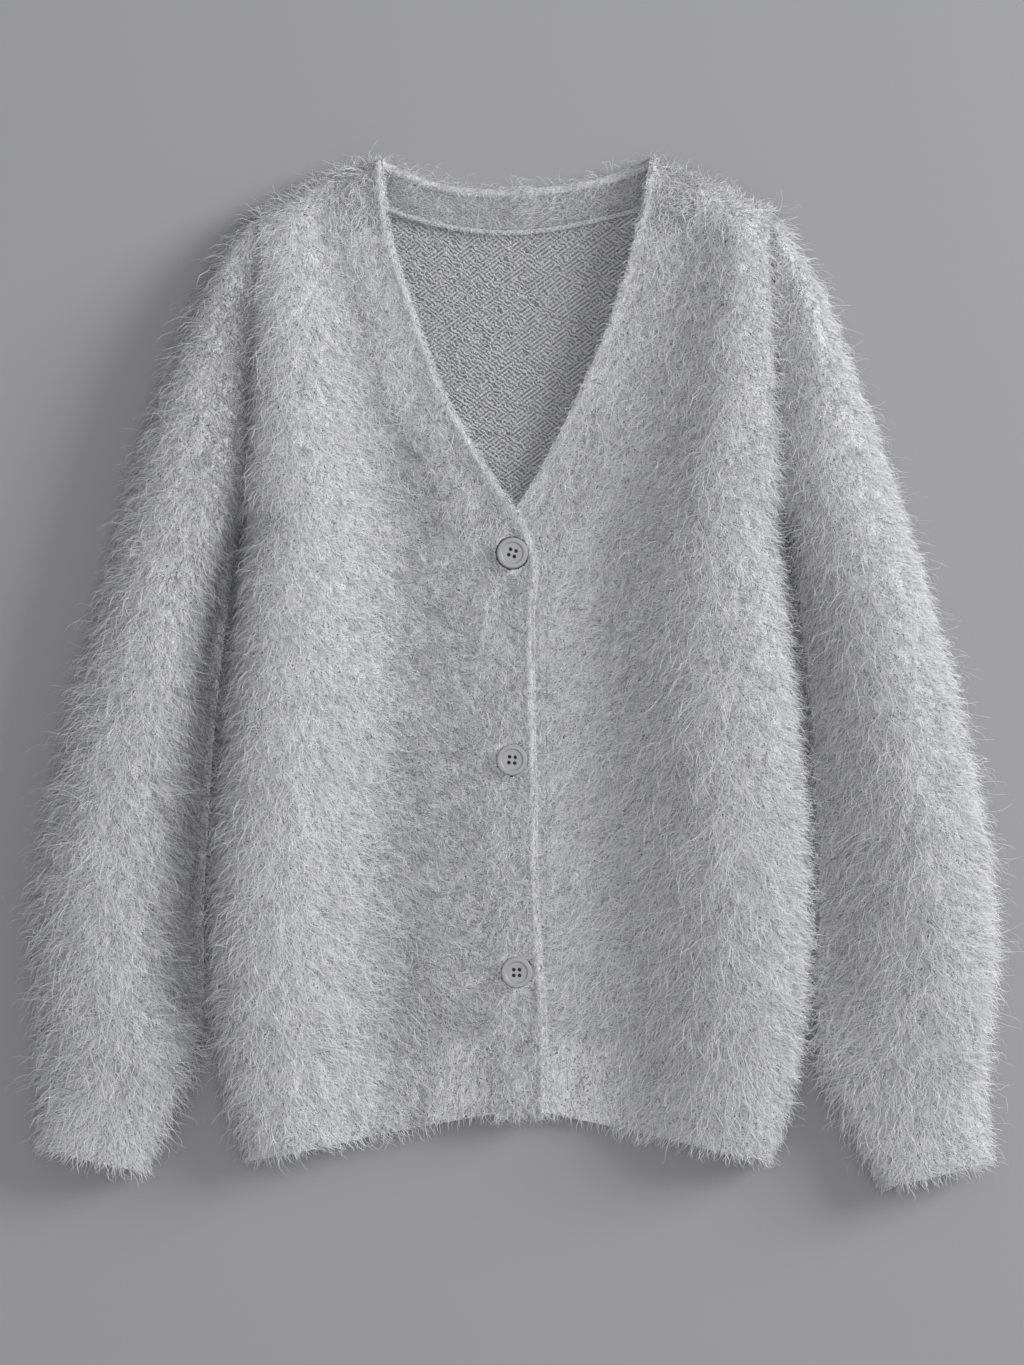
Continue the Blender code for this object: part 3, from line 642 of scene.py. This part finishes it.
# ---------------------------------------------------------------- the fronts
# Two shaped panels of the same brushed knit, each with its ribbed hem knitted on below. They
# are sewn to the back at the shoulders and sides. The wearer's right one laps over the left.
RIB, FURROW = 7.0, 1.6  # from one rib to the next, and how deep it is between them
RIBS_SHOW, RIBS_WIDE = (-36, 45), 24  # where the pile is thin enough for them, and how far about
HEM_Y = -226.0
FRONT_PARTINGS = {
    "right": [(-135, 300), (-146, 180), (-149, 0), (-150, -340)],
    "left": [(122, 300), (126, 180), (130, 0), (131, -340)],
}
Swell = namedtuple("Swell", "x half_width high")  # where the fronts stand proud, or sag
SWELLS = (Swell(-150, 34, 1.5), Swell(-78, 26, -1.4), Swell(58, 24, -1.4), Swell(133, 34, 1.5))
OVER_TOP = 240.0  # cloth above this that faces up the garment turns over the shoulder
EDGE_X = 20.0  # about how far from the garment's middle each front meets its band
FRONT_GROUND = 2.0


def front_sag(points, _):
    """The soft lengthwise swells and hollows of the fronts."""
    x, y = points[:, 0], points[:, 1]
    swell = sum(s.high * np.exp(-(((x - s.x) / s.half_width) ** 2)) for s in SWELLS)
    return -swell * ease((250 - y) / 90) * (1 + 0.25 * np.sin(y / 47))


def over_shoulder(points, normals, comb, outward):
    """On the shoulder fold the hair swings out and up, and stands off the edge."""
    swing = (ease((normals[:, 1] - 0.3) / 0.5) * (points[:, 1] > OVER_TOP))[:, None] * pi * 0.85
    turned_up = -np.minimum(np.cos(swing), 0)
    swung_out = np.array([outward, 0, -0.1]) * np.sin(swing)
    return comb * np.maximum(np.cos(swing), 0) + swung_out + turned_up * [0, 1, 0.5]


def shoulder_fold(points, normals):
    """1 where the cloth turns over the shoulder: its hair is rubbed short and thick there."""
    return ease((normals[:, 1] - 0.3) / 0.4) * (points[:, 1] > OVER_TOP)


def move(laid_skin, points):
    laid_skin.data.vertices.foreach_set("co", (points * MM).ravel())
    laid_skin.data.update()


def fill_armhole(laid_skin, points, normals):
    """Lifts the skin at the armhole, where the pile of the two pieces meets over their seam."""
    near_rim = 1 - ease((from_rim(laid_skin.data) - 1) / 9)
    near = near_rim * ease((points[:, 1] - 60) / 60) * ease((np.abs(points[:, 0]) - 110) / 20)
    move(laid_skin, points + normals * (2.2 * near)[:, None])


for hand in ("right", "left"):
    for part, fineness, cut, area in (
        ("front", 1, (0.19, 0.56), 0.085),
        ("hem_front", 3, (0.19, 0.07), 0.011),
    ):
        node = f"{part}_{hand}"
        outward = -1 if hand == "right" else 1
        laid = skin(node, 0.5, fineness, sag=front_sag)
        points, normals = read(laid.data) / MM, read(laid.data, "normal")
        x, y = points[:, 0], points[:, 1]
        comb, _ = comb_out(FRONT_PARTINGS[hand], points)
        comb = over_shoulder(points, normals, comb, outward)
        to_band = np.abs(x - outward * EDGE_X)
        low = ease((60 - y) / 200)
        # the pile is shorter beside the band and at the hem's edge, and a little longer low down
        pile = (0.62 + 0.38 * ease(to_band / 60)) * (0.9 + 0.2 * low) * (1 - 0.42 * ease((-262 - y) / 50))
        showing = sum(np.exp(-(((x - middle) / RIBS_WIDE) ** 2)) for middle in RIBS_SHOW)
        rib = ease((HEM_Y - y) / 12) * (0.25 + 0.75 * showing)
        down = np.clip(1.2 * rib, 0, 1)[:, None]
        comb = comb * (1 - down) + np.array([0, -1, -0.35]) * down
        if part == "front":
            furrow = 0
            fill_armhole(laid, points, normals)
        else:
            furrow = rib * (0.5 - 0.5 * np.cos(2 * pi * x / RIB))
            move(laid, points - normals * (FURROW * furrow)[:, None])
        fold = shoulder_fold(points, normals)
        # in the middle of the right front the hair is darkened: painted shade
        combed(
            laid, comb, pile * (1 - 0.35 * fold), cover=(1 + 0.7 * fold) * (1 - 0.8 * furrow),
            rib=rib, girth=x / RIB + 0.5,
            parted=0.58 * ease((x + 105) / 30) * ease((8 - x) / 8) * ease((200 - y) / 60),
        )
        cloth = ground(node, laid, pile_ground, FRONT_GROUND)
        hair = brush(node, laid, long_pile_tree, 21 + len(node))

# --------------------------------------------------------------- the sleeves
# Each is one tube of the same brushed knit, puffed over the shoulder and sewn into the
# armhole, with a ribbed cuff knitted on at its end.
SLEEVE_PARTINGS = {
    "right": [
        (-166, 290), (-188, 200), (-211, 110), (-232, 10),
        (-248, -90), (-254, -180), (-255, -240), (-272, -330),
    ],
    "left": [
        (163, 290), (184, 195), (207, 105), (230, 5),
        (247, -90), (250, -180), (252, -240), (269, -335),
    ],
}
TROUGHS = {"right": 7.5, "left": 4.5}  # how far each sleeve sags beside the body
TROUGH_IN, TROUGH_WIDE = 47, 16  # how far in from the sleeve's parting, and its half width
# where the right sleeve's inner fold runs beside the body, from the cuff up
FOLD_Y = (-262, -233, -152, -52, 96, 296)
FOLD_X = (-209, -198, -197, -191.5, -172, -164.5)
CUFF_Y = -262.0


def sleeve_trough(hand, points, normals):
    """The long hollow of a sleeve beside the body."""
    x, y = points[:, 0], points[:, 1]
    line = np.array(SLEEVE_PARTINGS[hand][::-1])
    inward = np.abs(np.interp(y, line[:, 1], line[:, 0])) - np.abs(x)
    beside = np.exp(-(((inward - TROUGH_IN) / TROUGH_WIDE) ** 2))
    beside = beside * ease((170 - y) / 120) * ease((y + 265) / 70)
    return TROUGHS[hand] * beside * ease(normals[:, 2] / 0.3) * (1 + 0.2 * np.sin(y / 31))


def valley_painted_shade(points):
    """How far the hair is darkened in the deep valley beside the body, where the body's shade falls:
    painted shade.
    """
    x, y = points[:, 0], points[:, 1]
    out = np.maximum(np.interp(y, FOLD_Y, FOLD_X) - x, 0)
    wide = 46 + 18 * ease((60 - y) / 160)
    deep = (0.58 + 0.14 * ease((y + 60) / 160)) * np.exp(-((out / wide) ** 2))
    return (0.2 + deep) * ease((y - CUFF_Y) / 50) * (1 - 0.7 * ease((y - 245) / 35))


for hand in ("right", "left"):
    for part, sharp, fineness, cut, area in (
        ("sleeve", 0.72, 1, (0.28, 0.52), 0.119),
        ("cuff", 0.5, 2, (0.2, 0.08), 0.0135),
    ):
        node = f"{part}_{hand}"
        trough = partial(sleeve_trough, hand) if part == "sleeve" else None
        laid = skin(node, sharp, fineness, sag=trough)
        points, normals = read(laid.data) / MM, read(laid.data, "normal")
        y = points[:, 1]
        comb, signed = comb_out(SLEEVE_PARTINGS[hand], points)
        below = ease((-normals[:, 2] - 0.3) / 0.5)
        # and here it gets longer down the sleeve, and is short at the cuff's edge
        pile = (0.85 + 0.25 * ease((150 - y) / 250)) * (1 - 0.4 * ease((-272 - y) / 50))
        if part == "sleeve":
            fill_armhole(laid, points, normals)
        # beside the body the right sleeve's hair is darkened: painted shade
        combed(
            laid, comb, pile, 1 - 0.9 * below, rib=0.4 * ease((CUFF_Y - y) / 12), girth=signed / RIB,
            parted=valley_painted_shade(points) if hand == "right" else 0,
        )
        cloth = ground(node, laid, pile_ground)
        hair = brush(node, laid, long_pile_tree, 41 + len(node))

# ----------------------------------------------------------------- the bands
# Firm folded bands, knitted separately and joined on, one from each hem to the centre back.
# Each one's free edge is its fold, a smooth roll with hardly any hair on it. Inside the back
# neck their reverse shows, plain and fuzzy.
BAND_WALL = 5.0
BAND_GROUND = BAND_WALL - STANDING - 0.6
BAND_BEND = 0.72  # the least cosine of a bend within a band's side
LOW_END, HIGH_END = -270.0, 270.0  # a band's ends are beyond these heights
ROLL_TALL, ROLL_WIDE = 5.0, 6.2
ROLL_SIDES = 8
STITCH = 2.6  # from one stitch of a roll to the next
NECK_Y = 283.0  # above this the bands show their inner side
BUTTON_TURNS = {"button_1": 18, "button_2": 6, "button_3": 0}  # clockwise, in degrees
BUTTON_CLEAR = 10.9  # no hair is nearer to a button's axis than this
BUTTON_SHADOW_TO = 11.3  # and the ground gets painted shadow out to here
NECK_SLOT, BUTTON_SHADOW_SLOT = 1, 2  # of a band's finishes
SHORT_HAIR = Coat(40, 3, 11.0, 0.42, 0.38, 1.3, 1.0, 0)
SHORT_FLYAWAYS = Coat(2.0, 3, 12.0, 0.28, 0.75, 1.5, 1.2, 0.3)
EDGE_FUZZ = Coat(60, 2, 4.2, 0.34, 0.4, 1.1, 1.2, 0.1)
EDGE_FLYAWAYS = Coat(9, 4, 9.5, 0.17, 0.9, 2.0, 1.0, 0.3)


def band_skin(node, inset=STANDING, reverse=False):
    """A band's skin. Its upper end is exactly at the centre back, where the two bands meet."""
    laid_skin = skin(node, BAND_BEND, 2, inset, reverse)
    points = read(laid_skin.data)
    joined = (points[:, 1] > HIGH_END * MM) & (np.abs(points[:, 0] - CENTRE_BACK) < 1.5 * MM)
    points[joined, 0] = CENTRE_BACK
    laid_skin.data.vertices.foreach_set("co", points.ravel())
    laid_skin.data.update()
    return laid_skin


def free_edge(mesh, toward):
    """The points along a band's fold, each with the way out of the cloth and into the band.

    toward is the side the fold is on: 1 for larger x, -1 for smaller.
    """
    bm = bmesh.new()
    bm.from_mesh(mesh)
    bm.normal_update()

    def on_rim(vert):
        return [edge.other_vert(vert) for edge in vert.link_edges if edge.is_boundary]

    def turns(vert):
        ends = [v.co for v in on_rim(vert)]
        return len(ends) == 2 and (ends[0] - vert.co).angle(vert.co - ends[1]) > CORNER

    corners = [
        v for v in bm.verts
        if v.is_boundary and turns(v) and (v.co.y < LOW_END * MM or abs(v.co.x - CENTRE_BACK) < 2 * MM)
    ]
    chains = []
    for corner in corners:
        for neighbour in on_rim(corner):
            chain = [corner, neighbour]
            while chain[-1] not in corners:
                chain.append(next(v for v in on_rim(chain[-1]) if v != chain[-2]))
            chains.append(chain)
    longest = max(len(c) for c in chains)
    upward = [c for c in chains if len(c) > 0.8 * longest and c[0].co.y < c[-1].co.y]
    chain = max(upward, key=lambda c: toward * sum(v.co.x for v in c) / len(c))
    rows = []
    for before, vert, after in zip([chain[0], *chain], chain, [*chain[1:], chain[-1]]):
        along = (after.co - before.co).normalized()
        faces = vert.link_faces
        heart = sum((f.calc_center_median() for f in faces), Vector()) / len(faces) - vert.co
        heart -= along * heart.dot(along)
        heart -= vert.normal * heart.dot(vert.normal)
        rows.append([*vert.co, *vert.normal, *heart.normalized()])
    bm.free()
    return np.array(rows)


def roll(name, rows, tall, wide, drop, material, swell=0.05):
    """A closed tube that swells a little at each stitch, one of the knit's rolled edges.

    A row is a place, the way out of the cloth there and the way into the piece. The tube's
    middle lies drop below the rows.
    """
    reach = np.concatenate([[0], np.cumsum(np.linalg.norm(np.diff(rows[:, :3], axis=0), axis=1))])
    stops = np.arange(0, reach[-1], MM)
    rows = np.stack([np.interp(stops, reach, column) for column in rows.T], 1)
    place, out, into = rows[:, :3], rows[:, 3:6], rows[:, 6:9]
    out = out / np.linalg.norm(out, axis=1)[:, None]
    into = into / np.linalg.norm(into, axis=1)[:, None]
    centre = place - out * drop * MM + into * wide / 2 * MM
    full = 1 + swell * np.cos(stops / MM * 2 * pi / STITCH)[:, None]
    rings = [
        centre + out * (cos(a) * tall / 2 * MM) * full + into * (sin(a) * wide / 2 * MM) * full
        for a in (2 * pi * k / ROLL_SIDES for k in range(ROLL_SIDES))
    ]
    verts = np.stack(rings, 1).reshape(-1, 3)
    firsts = range(0, len(verts), ROLL_SIDES)
    faces = [
        (a + k, a + (k + 1) % ROLL_SIDES, b + (k + 1) % ROLL_SIDES, b + k)
        for a, b in zip(firsts, firsts[1:]) for k in range(ROLL_SIDES)
    ]
    faces += [tuple(range(first, first + ROLL_SIDES)) for first in (firsts[0], firsts[-1])]
    mesh = bpy.data.meshes.new(name)
    mesh.from_pydata(verts.tolist(), [], faces)
    bm = bmesh.new()
    bm.from_mesh(mesh)
    bmesh.ops.recalc_face_normals(bm, faces=bm.faces)
    bm.to_mesh(mesh)
    bm.free()
    mesh.materials.append(material)
    obj = new_piece(name, mesh)
    mesh.shade_smooth()
    return obj


band_knit = knit_finish("pale grey band knit", (0.24, 0.24, 0.25), 0.25)
# the fold's knit and its fuzz are lighter than the same yarn elsewhere: painted highlight
highlit_fold_knit = knit_finish("pale grey folded edge", (0.43, 0.43, 0.443), 0.1)
# a dark ground under and round each button: painted shadow
button_shadow_ground = felt_finish(
    "pale grey hair pressed under a button", (0.02, 0.02, 0.021), (0.09, 0.09, 0.093)
)
highlit_edge_hair = hair_finish("pale grey edge hair", (0.66, 0.66, 0.674), (0.89, 0.89, 0.9), 0.35)
short_pile_tree = pile_tree("short brushed pile", [SHORT_HAIR, SHORT_FLYAWAYS], short_pile)
edge_fuzz_tree = pile_tree("edge fuzz", [EDGE_FUZZ, EDGE_FLYAWAYS], highlit_edge_hair)


def box_corners(node):
    return np.array([np.array(corner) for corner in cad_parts[node].bound_box])


button_spots = [box_corners(name).mean(axis=0) / MM for name in BUTTON_TURNS]


def from_buttons(points):
    """How far each point is from the nearest button's axis."""
    return np.min([np.hypot(*(points[:, :2] - spot[:2]).T) for spot in button_spots], axis=0)


def paint_shadow_under_buttons(mesh):
    """The ground under a button and in a narrow ring round it gets a dark finish of its own: painted
    shadow.
    """
    bm = bmesh.new()
    bm.from_mesh(mesh)
    middles = np.array([(e.verts[0].co + e.verts[1].co) / 2 for e in bm.edges]) / MM
    far = from_buttons(middles)
    near = [e for e in bm.edges if far[e.index] < 14 and e.verts[0].normal.z > 0]
    bmesh.ops.subdivide_edges(bm, edges=near, cuts=3, use_grid_fill=True)
    for face in bm.faces:
        if from_buttons(np.array([v.co for v in face.verts]) / MM).max() < BUTTON_SHADOW_TO:
            face.material_index = BUTTON_SHADOW_SLOT
    bm.to_mesh(mesh)
    bm.free()


def clear_round_buttons(hair_mesh):
    """The buttons press the hair away round them."""
    bare = from_buttons(read(hair_mesh) / MM) < BUTTON_CLEAR
    bm = bmesh.new()
    bm.from_mesh(hair_mesh)
    bmesh.ops.delete(bm, geom=[v for v in bm.verts if bare[v.index]], context="VERTS")
    bm.to_mesh(hair_mesh)
    bm.free()


for hand in ("right", "left"):
    node = f"band_{hand}"
    toward = 1 if hand == "right" else -1
    laid = band_skin(node, inset=0.0)
    edge = free_edge(laid.data, toward)
    bpy.data.objects.remove(laid)
    laid = band_skin(node)
    points, normals = read(laid.data) / MM, read(laid.data, "normal")
    comb = np.tile([0.12 * toward, -1.0, 0.0], (len(points), 1))
    comb = over_shoulder(points, normals, comb, -toward)
    from_fold = np.min(np.linalg.norm(points[:, None, :2] - edge[None, :, :2] / MM, axis=2), axis=1)
    raised = (points + normals * (2.0 * (1 - ease((from_fold - 3) / 8)))[:, None]) * MM
    laid.data.vertices.foreach_set("co", raised.ravel())
    away = from_buttons(points)
    # below the neck the right band's hair is darkened: painted shade
    combed(
        laid, comb,
        pile=(0.25 + 0.75 * ease((away - 10) / 2.5)) * (0.55 + 0.45 * ease((from_fold - 3) / 9)),
        cover=ease((away - 9.6) / 1.6) * (0.8 + 0.2 * ease((from_fold - 2) / 3)),
        parted=0.52 * ease((200 - points[:, 1]) / 60) if hand == "right" else 0,
    )
    cloth = ground(node, laid, pile_ground, BAND_GROUND)
    cloth.data.materials.append(band_knit)
    cloth.data.materials.append(button_shadow_ground)
    for face in cloth.data.polygons:
        if face.center.y > NECK_Y * MM and face.normal.z > 0.2:
            face.material_index = NECK_SLOT
    hair = brush(node, laid, short_pile_tree, 61 + len(node))
    if hand == "right":
        paint_shadow_under_buttons(cloth.data)
        clear_round_buttons(hair.data)
    fold = roll("fold_" + node, edge, ROLL_TALL, ROLL_WIDE, BAND_WALL / 2, highlit_fold_knit)
    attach(fold, "root")
    fuzzy = new_piece("skin_fold", fold.data.copy())
    fuzzy.data.materials.clear()
    count = len(fuzzy.data.vertices)
    turned_in = np.sin(2 * pi * (np.arange(count) % ROLL_SIDES) / ROLL_SIDES)
    combed(fuzzy, np.tile([0.3 * toward, -1.0, 0.0], (count, 1)), cover=1 - ease(turned_in * 1.5))
    fold_hair = brush(node, fuzzy, edge_fuzz_tree, 71 + len(node), "fold_hair_")
    laid = band_skin(node, inset=0.6, reverse=True)
    points = read(laid.data) / MM
    x, y, z = points.T
    patchy = 0.75 + 0.5 * np.sin(x / 9.0 + 1.0) * np.sin(x / 23.0 + y / 6.0)
    combed(
        laid, np.tile([toward, -0.3, 0.0], (len(points), 1)), pile=2.2,
        cover=3.2 * patchy * ease((y - 280) / 8) * ease((9 - z) / 3),
    )
    inner = brush(node, laid, inner_fuzz_tree, 81 + len(node), "fuzz_")
    pieces = [hair, fold, fold_hair, inner]

# ---------------------------------------------------------- the neck binding
# A narrow strip of the same yarn, knitted plain. It is sewn over the seam that joins the bands
# to the back neck, and stands up inside as a soft ridge.
BINDING_TALL, BINDING_WIDE, BINDING_OUT = 3.4, 4.0, 0.9  # and how far its middle is above the seam
SEAM_Z = 5.2
NECK_HALF, NECK_STOPS = 86, 44  # how far it reaches to each side, and the number of places along it
# lighter than the back's knit of the same yarn: painted highlight on the ridge
highlit_binding_knit = knit_finish("pale grey neck binding", (0.31, 0.31, 0.32), 0.3)
laid = skin("back", 0.6, 2, inset=0.0, reverse=True)
points = read(laid.data) / MM
bpy.data.objects.remove(laid)
at_neck = points[(np.abs(points[:, 0]) < 92) & (points[:, 1] > 280)]
neck_rows = []
for x in np.linspace(-NECK_HALF, NECK_HALF, NECK_STOPS):
    near = at_neck[np.abs(at_neck[:, 0] - x) < 4]
    neck_rows.append([x * MM, near[:, 1].max() * MM, SEAM_Z * MM, 0, 0, 1, 0, -1, 0])
neck_rows = np.array(neck_rows)
neck_rows[2:-2, 1] = np.convolve(neck_rows[:, 1], np.ones(5) / 5, "valid")
binding = roll("binding_neck", neck_rows, BINDING_TALL, BINDING_WIDE, -BINDING_OUT, highlit_binding_knit, swell=0.1)
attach(binding, "root")
fuzzy = new_piece("skin_binding", binding.data.copy())
fuzzy.data.materials.clear()
up = ease((read(fuzzy.data, "normal")[:, 2] + 0.2) / 0.4)
combed(fuzzy, np.tile([1.0, -0.4, 0.0], (len(up), 1)), pile=0.8, cover=0.5 * up)
brush("binding", fuzzy, edge_fuzz_tree, 91, "fuzz_")

# --------------------------------------------------------------- the buttons
# Turned from pale grey resin, with a raised rim, a shallow dish and four drilled holes. They
# are sewn to the under band, and come up through buttonholes in the over band.
ProfilePoint = namedtuple("ProfilePoint", "radius height")
PROFILE = [ProfilePoint(*spot) for spot in (
    (0, 0), (8.6, 0), (9.6, 0.4), (10, 1.2), (10, 2.5), (9.85, 2.95), (9.5, 3.2), (8.9, 3.3), (7.6, 3.32),
    (7.1, 3.24), (6.8, 3.02), (6.6, 2.78), (6.4, 2.74), (6.1, 2.86), (5.6, 2.84), (4.2, 2.68), (2.2, 2.6),
    (0, 2.6),
)]
HOLE, PITCH = 2.1, 3.7  # its width, and from one hole to the next
DRILL = [ProfilePoint(*spot) for spot in (
    (0, -1), (HOLE / 2, -1), (HOLE / 2, 2.0), (HOLE / 2 + 0.25, 2.5), (HOLE / 2 + 0.25, 5), (0, 5),
)]


def plain_finish(name, colour, roughness, gloss=0.5):
    material, _, shader = new_finish(name, roughness, gloss)
    shader.inputs["Base Color"].default_value = (*colour, 1)
    return material


resin = plain_finish("pale grey resin", (0.2, 0.2, 0.209), 0.42, 0.4)
# the holes' walls are near black: painted shade
hole_shade_finish = plain_finish("grey resin, unpolished in the holes", (0.02, 0.02, 0.021), 0.9)


def turned(name, profile, place, steps):
    """A solid of revolution standing on place."""
    bm = bmesh.new()
    ring = [bm.verts.new((spot.radius * MM, 0, spot.height * MM)) for spot in profile]
    for a, b in zip(ring, ring[1:]):
        bm.edges.new((a, b))
    bmesh.ops.spin(
        bm, geom=bm.verts[:] + bm.edges[:], axis=(0, 0, 1), cent=(0, 0, 0), steps=steps, angle=2 * pi,
        use_duplicate=False,
    )
    bmesh.ops.remove_doubles(bm, verts=bm.verts[:], dist=1e-6)
    bmesh.ops.dissolve_degenerate(bm, edges=bm.edges[:], dist=1e-6)
    bmesh.ops.recalc_face_normals(bm, faces=bm.faces)
    bmesh.ops.translate(bm, verts=bm.verts[:], vec=place)
    mesh = bpy.data.meshes.new(name)
    bm.to_mesh(mesh)
    bm.free()
    return new_piece(name, mesh)


for node, turn in BUTTON_TURNS.items():
    corners = box_corners(node)
    middle, foot = corners.mean(axis=0), corners[:, 2].min()
    button = turned("turned_" + node, PROFILE, (middle[0], middle[1], foot), 64)
    out = PITCH / 2 * 2**0.5 * MM
    drills = []
    for angle in (radians(45 + 90 * k - turn) for k in range(4)):
        place = (middle[0] + out * cos(angle), middle[1] + out * sin(angle), foot)
        drill = turned("drill", DRILL, place, 24)
        cut = button.modifiers.new("hole", "BOOLEAN")
        cut.object, cut.operation, cut.solver = drill, "DIFFERENCE", "EXACT"
        drills.append(drill)
    made(button)
    for drill in drills:
        bpy.data.objects.remove(drill)
    button.data.materials.clear()
    button.data.materials.append(resin)
    button.data.materials.append(hole_shade_finish)
    # the walls of the holes get the painted shade
    for face in button.data.polygons:
        spot = (np.array(face.center) - middle)[:2]
        if abs(face.normal.z) < 0.3 and np.hypot(*spot) < out + HOLE * MM:
            face.material_index = 1
    button.data.shade_smooth()
    button.data.set_sharp_from_angle(angle=CORNER)
    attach(button, "root")
    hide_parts(node)

# ----------------------------------------------------- floor, light and camera
# The cardigan lies on a matt grey board. One large soft lamp stands low on the right, a weaker
# one hangs overhead, and the camera looks straight down.
FLOOR_HALF = 3.0
AIR = (0.8, 0.8, 0.82)  # the light from all round
Lamp = namedtuple("Lamp", "name place wide power")  # in metres and watts
LAMPS = (Lamp("key", (3.56, 1.58, 1.57), 2.0, 272), Lamp("fill", (0.0, 0.0, 3.2), 2.0, 54))
CAMERA_X, CAMERA_Y, CAMERA_Z = -0.0022, -0.0064, 2.6
SEEN_TALL, SEEN_AT = 0.8736, 0.02  # how much of the garment's length fits in the view, at what height
SENSOR = 24.0
bm = bmesh.new()
bmesh.ops.create_grid(bm, x_segments=1, y_segments=1, size=FLOOR_HALF)
floor_mesh = bpy.data.meshes.new("floor")
bm.to_mesh(floor_mesh)
bm.free()
floor_mesh.materials.append(plain_finish("matt grey board", (0.209, 0.209, 0.221), 0.9))
new_piece("floor", floor_mesh)
for lamp in LAMPS:
    light = bpy.data.lights.new(lamp.name, "AREA")
    light.shape, light.size, light.energy = "DISK", lamp.wide, lamp.power
    hung = new_piece(lamp.name, light)
    hung.location = lamp.place
    hung.rotation_euler = (Vector((0, 0, 0)) - Vector(lamp.place)).to_track_quat("-Z", "Y").to_euler()
world = bpy.context.scene.world or bpy.data.worlds.new("studio")
bpy.context.scene.world = world
world.use_nodes = True
world.node_tree.nodes["Background"].inputs["Color"].default_value = (*AIR, 1)
world.node_tree.nodes["Background"].inputs["Strength"].default_value = 0.55
eye = bpy.data.cameras.new("camera")
eye.sensor_fit = "VERTICAL"
eye.sensor_height = SENSOR
eye.lens = SENSOR * (CAMERA_Z - SEEN_AT) / SEEN_TALL
camera = new_piece("camera", eye)
camera.location = (CAMERA_X, CAMERA_Y, CAMERA_Z)
bpy.context.scene.camera = camera
bpy.context.scene.view_settings.view_transform = "Standard"

for pattern in hairs.values():
    bpy.data.objects.remove(pattern)
bpy.context.view_layer.update()
